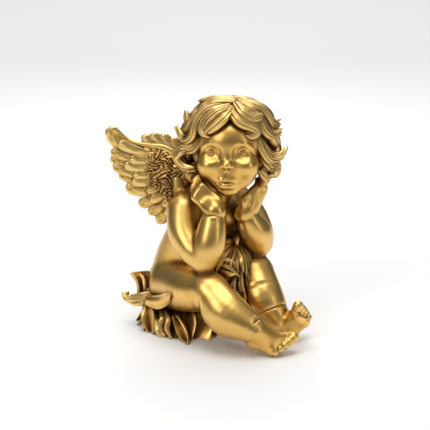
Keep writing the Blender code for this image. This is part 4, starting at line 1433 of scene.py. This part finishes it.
    def _lap(self) -> list[Surface]:
        """The twisted knot, the pointed pleats that fan out of it and the rough tails between the legs.

        Returns:
            One surface per fold, and the pad under them.
        """
        facing = np.array([-0.3, -0.75, 0.6])
        fan = (((9, -36, 60), (1, -37, 57.4), (-7, -37, 53.4), (-14, -36, 48.6)),
               ((9, -36, 59), (1, -39.6, 55.4), (-6, -41, 50.6), (-12, -42, 45)),
               ((9, -37, 59), (3, -42, 53.6), (-3, -45, 48), (-6, -47, 42)),
               ((9, -37, 59), (6, -43, 53), (2, -47, 47), (0, -49, 41)),
               ((10, -37, 59), (10, -43, 53), (8, -47.4, 46), (7, -50, 40)),
               ((10, -37, 59), (14, -42, 53), (15, -45, 47), (13.6, -48, 41)),
               ((11, -36, 60), (16, -39, 56), (19, -41, 52), (20, -42, 47)))
        parts = [self._fold(points, facing, 2.0, 2.4, 30, 0.6, 0.5, 0.15, 1 + i % 2)
                 for i, points in enumerate(fan)]
        for one, two in zip(fan, fan[1:]):
            between = (np.array(one, float) + np.array(two, float)) / 2 - 0.7 * facing
            parts.append(self._fold(between, facing, 1.7, 2.2, 28, 0.6, 0.6, 0.2, 1))
        over = (((5.6, -37.3, 58.7), (1.5, -37, 56.8), (-2, -36.2, 54), (-4.9, -34.6, 51.5)),
                ((6.1, -39.6, 57.1), (0.7, -39.8, 54.9), (-3.3, -38.5, 52.1), (-6.5, -36.4, 50)),
                ((-7, -35, 48.7), (-5.3, -39.9, 51.1), (-2.2, -44, 51.4), (1.7, -47.2, 48.4)),
                ((-8, -36.1, 47.2), (-6.5, -41.2, 48.4), (-4, -46.8, 46.8), (-0.3, -51.8, 42.2)),
                ((-8.5, -37.6, 45.6), (-7.9, -42.7, 44.7), (-5.7, -47.8, 43.8), (-1.9, -51.1, 44.1)),
                ((7, -40.5, 57.1), (6.1, -45.3, 53), (4, -49, 49), (3.3, -51.6, 44.1)))
        parts += [self._fold(points, facing, 1.9, 2.1, 30, 0.5, 0.6, 0.15, 1 + i % 2)
                  for i, points in enumerate(over)]
        tails = (((3, -45, 45), (-2, -48, 36), (-3, -50, 27), (-6, -49, 18)),
                 ((6, -46, 45), (3, -50, 35), (4, -52, 26), (1, -52, 15)),
                 ((9, -46, 45), (10, -49.6, 35), (8, -52, 26), (10, -50.6, 17)))
        for points in tails:
            path = curve_through(points, 9)
            aside = np.array([2.6, 0.9, 0.0]) * (1 + 0.5 * np.sin(4.4 * np.arange(9)))[:, None]
            parts.append(self._sheet(path - aside, path + aside, (-0.7, -1.4, 0.8), 1.2, 26, 14))
        turn = np.linspace(0, 2.6 * math.pi, 40)[:, None]
        ring = np.array([9.5, -38.5, 60.5]) + np.cos(turn) * np.array([2.9, 1.4, 0])
        ring = ring + np.sin(turn) * np.array([0, -1.2, 2.9]) + turn * np.array([0.25, -0.3, 0.1])
        parts.append(tube(ring, facing, oval(np.full(40, 1.35), np.full(40, 1.25)), 12))
        pad = Volume((-20, -56, 18), (26, -8, 66), 0.8)
        pad.egg((4, -31, 38.5), (17.5, 17, 14.5), 1.0)
        pad.egg((7.5, -34, 58), (4, 3.6, 4), 2.0)
        parts.append(pad.surface())
        return parts


@dataclass
class Crevices:
    """How deep each corner lies between other surfaces, and whether it is on a ridge or in a groove; the
    paint turns deep places brown as patina and painted shade, and ridges lighter as wear and painted
    highlight.
    """

    cell: float = 0.8
    near: float = 2.2
    near_share: float = 1.6
    far: float = 4.2
    far_share: float = 2.6
    proud: float = 0.12
    margin: float = 8.0

    def measure(self, surfaces: Sequence[Surface]) -> list[tuple[Grid, Grid]]:
        """Measures every corner of every surface.

        The surface area in each cell of a 3-D grid is spread by a small box, and read ahead of each corner
        along its normal: open places read nothing there, and narrow gaps read the wall across them.

        Args:
            surfaces: all surfaces of the figure, in pose units.

        Returns:
            For each surface, its crevice values from 0 to 1 and its ridge values from -1 to 1.
        """
        low = np.min([s.points.min(0) for s in surfaces], axis=0) - self.margin
        high = np.max([s.points.max(0) for s in surfaces], axis=0) + self.margin
        shape = np.ceil((high - low) / self.cell).astype(int) + 1
        density = np.zeros(int(np.prod(shape)))
        for surface in surfaces:
            cells = ((surface.points - low) / self.cell).astype(int)
            area = surface.gathered(np.linalg.norm(surface.spans(), axis=1) / 8)
            density += np.bincount(np.ravel_multi_index(cells.T, shape), area, density.size)
        density = density.reshape(shape) / self.cell**3
        for _ in range(2):
            for axis in range(3):
                density = (density + np.roll(density, 1, axis) + np.roll(density, -1, axis)) / 3
        wide = density
        for axis in range(3):
            wide = (wide + sum(np.roll(wide, step, axis) for step in (1, -1, 2, -2))) / 5
        readings = (density, self.near, self.near_share), (wide, self.far, self.far_share)
        found = []
        for surface in surfaces:
            normal = surface.normals()
            read = np.zeros(len(surface.points))
            for area, ahead, share in readings:
                cells = ((surface.points + normal * ahead - low) / self.cell).astype(int)
                cells = np.clip(cells, 0, np.array(shape) - 1)
                read += share * area[tuple(cells.T)]
            found.append((self._evened(surface, np.clip(read, 0, 1), 2), self._bend(surface, normal)))
        return found

    @staticmethod
    def _evened(surface: Surface, values: Grid, rounds: int) -> Grid:
        """Averages values with those of the neighbouring corners.

        Args:
            surface: the skin they belong to.
            values: one value per corner.
            rounds: how often this is done.

        Returns:
            The evened values.
        """
        share = np.maximum(surface.gathered(np.ones(len(surface.quads))), 1)
        for _ in range(rounds):
            values = surface.gathered(values[surface.quads].mean(1)) / share
        return values

    def _bend(self, surface: Surface, normal: Grid) -> Grid:
        """Ridge above 0 and groove below 0: how far a corner stands proud of its neighbourhood's mean.

        Args:
            surface: the skin.
            normal: its unit normals.

        Returns:
            One value from -1 to 1 per corner.
        """
        mean = np.stack([self._evened(surface, surface.points[:, k], 3) for k in range(3)], 1)
        proud = ((surface.points - mean) * normal).sum(1)
        return np.clip(self._evened(surface, proud, 1) / self.proud, -1, 1)


@dataclass(frozen=True)
class GoldPaint:
    """Satin gold paint with warm brown in the grooves and hollows, partly patina and partly painted shade,
    and brighter gold on the ridges, partly wear and partly painted highlight.
    """

    name: str = "gold_paint"
    gold: Colour = (0.79, 0.475, 0.118)
    # lighter gold of the ridges: partly wear, partly painted highlight
    rubbed_and_highlight: Colour = (1.0, 0.76, 0.32)
    # brown of the grooves and hollows: partly patina, partly painted shade
    brown: Colour = (0.20, 0.088, 0.018)
    coat: float = 0.25
    coat_roughness: float = 0.22
    roughness: float = 0.26
    cloud_scale: float = 95.0
    grain_scale: float = 1500.0
    # how much the grooves take the brown: patina and painted shade
    groove_patina_and_shade: float = 1.2
    # how much the ridges take the lighter gold: wear and painted highlight
    ridge_wear_and_highlight: float = 0.5
    bump: float = 0.25
    bump_depth: float = 0.0002

    def material(self) -> bpy.types.Material:
        """Makes the painted finish.

        Returns:
            The material for every piece.
        """
        made = bpy.data.materials.new(self.name)
        made.use_nodes = True
        nodes, links = made.node_tree.nodes, made.node_tree.links
        shader = nodes["Principled BSDF"]
        shader.inputs["Metallic"].default_value = 1.0
        shader.inputs["Coat Weight"].default_value = self.coat
        shader.inputs["Coat Roughness"].default_value = self.coat_roughness
        group = nodes.new("ShaderNodeGroup")
        group.node_tree = self._paint_group()
        for output, socket in (("Colour", "Base Color"), ("Roughness", "Roughness"), ("Normal", "Normal")):
            links.new(group.outputs[output], shader.inputs[socket])
        return made

    def _paint_group(self) -> bpy.types.NodeTree:
        """Colour, roughness and normal of the paint, from the two attributes of the mesh and fine noise.

        Returns:
            The node group.
        """
        tree = bpy.data.node_groups.new("gold_patina_shade_and_highlight", "ShaderNodeTree")
        for socket, kind in (("Colour", "Color"), ("Roughness", "Float"), ("Normal", "Vector")):
            tree.interface.new_socket(socket, in_out="OUTPUT", socket_type="NodeSocket" + kind)
        nodes, links = tree.nodes, tree.links
        out = nodes.new("NodeGroupOutput")
        where = nodes.new("ShaderNodeTexCoord")
        crevice, bend = nodes.new("ShaderNodeAttribute"), nodes.new("ShaderNodeAttribute")
        crevice.attribute_name, bend.attribute_name = "crevice", "bend"

        def noise(scale: float, detail: float) -> Socket:
            """A value from soft noise that sits on the object.

            Args:
                scale: how fine it is.
                detail: how many finer layers it has.

            Returns:
                The value.
            """
            node = nodes.new("ShaderNodeTexNoise")
            node.inputs["Scale"].default_value = scale
            node.inputs["Detail"].default_value = detail
            links.new(where.outputs["Object"], node.inputs["Vector"])
            return node.outputs["Fac"]

        def maths(operation: str, one: Socket | float, two: Socket | float, clamp: bool = False) -> Socket:
            """A value worked out from two others, kept from 0 to 1 where clamp is set.

            Args:
                operation: what is worked out.
                one: first value.
                two: second value.
                clamp: whether the result is kept from 0 to 1.

            Returns:
                The value.
            """
            node = nodes.new("ShaderNodeMath")
            node.operation = operation
            node.use_clamp = clamp
            for socket, value in zip(node.inputs, (one, two)):
                if isinstance(value, float):
                    socket.default_value = value
                else:
                    links.new(value, socket)
            return node.outputs[0]

        def mix(share: Socket, one: Colour | Socket, two: Colour) -> Socket:
            """A colour that goes from one to two with share.

            Args:
                share: 0 for one, 1 for two.
                one: first colour.
                two: second colour.

            Returns:
                The colour.
            """
            node = nodes.new("ShaderNodeMix")
            node.data_type = "RGBA"
            links.new(share, node.inputs[0])
            if isinstance(one, bpy.types.NodeSocket):
                links.new(one, node.inputs[6])
            else:
                node.inputs[6].default_value = (*one, 1.0)
            node.inputs[7].default_value = (*two, 1.0)
            return node.outputs[2]

        cloudy, fine = noise(self.cloud_scale, 3.0), noise(self.grain_scale, 2.0)
        ridge = maths("MAXIMUM", bend.outputs["Fac"], 0.0)
        groove = maths("MAXIMUM", maths("MULTIPLY", bend.outputs["Fac"], -1.0), 0.0)
        uneven = maths("ADD", maths("MULTIPLY", cloudy, 0.7), 0.65)
        # deep places and grooves go brown: partly patina, partly painted shade where shade falls
        deep = maths("ADD", crevice.outputs["Fac"], maths("MULTIPLY", groove, self.groove_patina_and_shade))
        patina_and_shade = maths("MULTIPLY", deep, uneven, True)
        # ridges go lighter gold: partly wear, partly painted highlight
        wear_and_highlight = maths("MULTIPLY", ridge, maths("MULTIPLY", uneven, self.ridge_wear_and_highlight), True)
        colour = mix(patina_and_shade, mix(wear_and_highlight, self.gold, self.rubbed_and_highlight), self.brown)
        rough = maths("ADD", maths("MULTIPLY", patina_and_shade, 0.28), maths("MULTIPLY", cloudy, 0.12))
        bump = nodes.new("ShaderNodeBump")
        bump.inputs["Strength"].default_value = self.bump
        bump.inputs["Distance"].default_value = self.bump_depth
        links.new(maths("ADD", fine, maths("MULTIPLY", cloudy, 2.0)), bump.inputs["Height"])
        links.new(colour, out.inputs["Colour"])
        links.new(maths("ADD", rough, self.roughness), out.inputs["Roughness"])
        links.new(bump.outputs["Normal"], out.inputs["Normal"])
        return tree


@dataclass(frozen=True)
class Lamp:
    """One soft box: its azimuth and elevation, how far off it stands, its sides and its power in watts."""

    name: str
    where: tuple[float, float]
    distance: float
    size: tuple[float, float]
    power: float
    straight_down: bool = False


@dataclass(frozen=True)
class Studio:
    """The pale floor, the soft lights and the camera."""

    aim: Point = (0.002, -0.026, 0.077)
    azimuth_deg: float = -42.0
    elevation_deg: float = 15.0
    distance: float = 0.900
    lens: float = 117.5
    paper: float = 0.93
    sky: Sequence[tuple[float, float]] = ((0.0, 0.20), (0.5, 0.10), (0.68, 0.14), (0.85, 0.40))
    lamps: Sequence[Lamp] = (
        Lamp("top_light", (-40.0, 80.0), 1.10, (0.70, 0.70), 5.6),
        Lamp("key_light", (-84.0, 34.0), 0.80, (0.26, 0.46), 1.45),
        Lamp("fill_light", (12.0, 20.0), 0.90, (0.16, 0.50), 0.6),
        Lamp("rim_light", (140.0, 34.0), 0.90, (0.40, 0.60), 1.1),
        Lamp("floor_light", (138.0, 45.0), 2.60, (2.40, 2.40), 31.0, True),
    )

    def build(self) -> None:
        """Makes floor, world, lights and camera."""
        self._floor()
        self._world()
        for lamp in self.lamps:
            self._lamp(lamp)
        self._camera()

    def _from(self, azimuth: float, elevation: float, distance: float) -> Vector:
        """A place seen from the aim point at an azimuth and elevation.

        Args:
            azimuth: degrees round from the front, towards the left.
            elevation: degrees above the floor.
            distance: how far off, in metres.

        Returns:
            The place.
        """
        a, e = math.radians(azimuth), math.radians(elevation)
        back = Vector((math.sin(a) * math.cos(e), -math.cos(a) * math.cos(e), math.sin(e)))
        return Vector(self.aim) + back * distance

    def _floor(self) -> None:
        """A wide pale floor."""
        bpy.ops.mesh.primitive_grid_add(x_subdivisions=8, y_subdivisions=8, size=12.0, location=(0, 0, 0))
        floor = bpy.context.object
        floor.name = "floor"
        paper = bpy.data.materials.new("pale_floor")
        paper.use_nodes = True
        shader = paper.node_tree.nodes["Principled BSDF"]
        shader.inputs["Base Color"].default_value = (self.paper, self.paper, self.paper, 1)
        shader.inputs["Roughness"].default_value = 0.9
        shader.inputs["Specular IOR Level"].default_value = 0.1
        floor.data.materials.append(paper)

    def _world(self) -> None:
        """A soft surround whose grey runs from below to above through the stops of the sky."""
        world = bpy.data.worlds.new("studio")
        world.use_nodes = True
        background = world.node_tree.nodes["Background"]
        nodes, links = world.node_tree.nodes, world.node_tree.links
        aim, split = nodes.new("ShaderNodeTexCoord"), nodes.new("ShaderNodeSeparateXYZ")
        ramp = nodes.new("ShaderNodeValToRGB")
        for place, _ in self.sky[2:]:
            ramp.color_ramp.elements.new(place)
        for element, (place, grey) in zip(ramp.color_ramp.elements, self.sky):
            element.position = place
            element.color = (grey, grey, grey * 0.98, 1)
        links.new(aim.outputs["Generated"], split.inputs[0])
        half = nodes.new("ShaderNodeMapRange")
        half.inputs["From Min"].default_value = -1.0
        links.new(split.outputs["Z"], half.inputs["Value"])
        links.new(half.outputs["Result"], ramp.inputs["Fac"])
        links.new(ramp.outputs["Color"], background.inputs["Color"])
        background.inputs["Strength"].default_value = 1.0
        bpy.context.scene.world = world
        bpy.context.scene.view_settings.view_transform = "Standard"

    def _lamp(self, lamp: Lamp) -> None:
        """A soft box that faces the figure, or the floor where it shines straight down.

        Args:
            lamp: its sizes, power and place.
        """
        data = bpy.data.lights.new(lamp.name, "AREA")
        data.shape = "RECTANGLE"
        data.size, data.size_y = lamp.size
        data.energy = lamp.power
        made = bpy.data.objects.new(lamp.name, data)
        made.location = self._from(*lamp.where, lamp.distance)
        if not lamp.straight_down:
            made.rotation_euler = self._facing(made.location)
        bpy.context.scene.collection.objects.link(made)

    def _facing(self, place: Vector) -> Euler:
        """The turn that points a lamp or camera at the aim point."""
        return (place - Vector(self.aim)).to_track_quat("Z", "Y").to_euler()

    def _camera(self) -> None:
        """The camera at the photograph's angle."""
        data = bpy.data.cameras.new("camera")
        data.lens = self.lens
        data.sensor_width = 36.0
        data.clip_start = 0.01
        camera = bpy.data.objects.new("camera", data)
        camera.location = self._from(self.azimuth_deg, self.elevation_deg, self.distance)
        camera.rotation_euler = self._facing(camera.location)
        bpy.context.scene.collection.objects.link(camera)
        bpy.context.scene.camera = camera


def to_object(name: str, surface: Surface, marks: tuple[Grid, Grid],
              finish: bpy.types.Material) -> bpy.types.Object:
    """Turns a surface in pose units into a smooth painted object in metres.

    Args:
        name: name of the piece.
        surface: its skin.
        marks: crevice and bend values of its corners.
        finish: its material.

    Returns:
        The linked object, riding on the figure's body.
    """
    mesh = bpy.data.meshes.new(name)
    count, faces = len(surface.points), len(surface.quads)
    mesh.vertices.add(count)
    mesh.vertices.foreach_set("co", (surface.points * MM).astype(np.float32).ravel())
    mesh.loops.add(faces * 4)
    mesh.loops.foreach_set("vertex_index", surface.quads.astype(np.int32).ravel())
    mesh.polygons.add(faces)
    mesh.polygons.foreach_set("loop_start", np.arange(0, faces * 4, 4, dtype=np.int32))
    mesh.polygons.foreach_set("use_smooth", np.ones(faces, bool))
    mesh.update(calc_edges=True)
    for label, values in zip(("crevice", "bend"), marks):
        mesh.attributes.new(label, "FLOAT", "POINT").data.foreach_set("value", values.astype(np.float32))
    if mesh.validate():
        LOG.warning("%s had faulty faces", name)
    mesh.materials.append(finish)
    piece = bpy.data.objects.new(name, mesh)
    bpy.context.scene.collection.objects.link(piece)
    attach(piece, BODY)
    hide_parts(CAD_NODE)
    return piece


def figure_parts() -> list[Part]:
    """Lists the sub-assemblies of the figure.

    Returns:
        One sub-assembly per piece.
    """
    right_hand = Hand("right_hand", (-16, -44, 88), (-19, -35, 97), (-15.8, -27, 104),
                      ((-12.3, -45, 92.6), (-18.3, -36.5, 101.5)), (0.55, -0.21, 0.8), (-0.6, -0.75, 0.2),
                      palm_depth=3.0)
    left_hand = Hand("left_hand", (12.9, -44, 81.5), (20, -46, 92), (24, -45.5, 101),
                     ((9.2, -45.5, 88.5), (18, -46.5, 97)), (0.8, 0.15, -0.35), (-0.2, 0.9, 0.2))
    right_foot = Foot("right_foot", (-13.5, -80, 16.5), (-12, -78.5, 10), (-2, -87.5, 7), (0.88, 0, 0.47),
                      (0.45, -0.88, -0.05), Side.LEFT, 0.3)
    left_foot = Foot("left_foot", (20.5, -67, 12), (25, -71.5, 5.4), (27.3, -78.5, 14.5), (0.8, 0.05, -0.6),
                     (0.35, -0.3, 0.88), Side.RIGHT, 0.2)
    wings = [Wing("right_wing", Side.RIGHT), Wing("left_wing", Side.LEFT)]
    return [Flesh(), right_hand, left_hand, right_foot, left_foot, Face(), Hair(), *wings, Drapery()]


def main() -> None:
    """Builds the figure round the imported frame, then the studio."""
    logging.basicConfig(level=logging.INFO, format="%(name)s: %(message)s")
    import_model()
    parts = figure_parts()
    skins = [part.build() for part in parts]
    marks = Crevices().measure(skins)
    finish = GoldPaint().material()
    for part, skin, mark in zip(parts, skins, marks):
        piece = to_object(part.name, skin, mark, finish)
        LOG.info("%s: %d faces", piece.name, len(skin.quads))
    Studio().build()


if __name__ == "__main__":
    main()
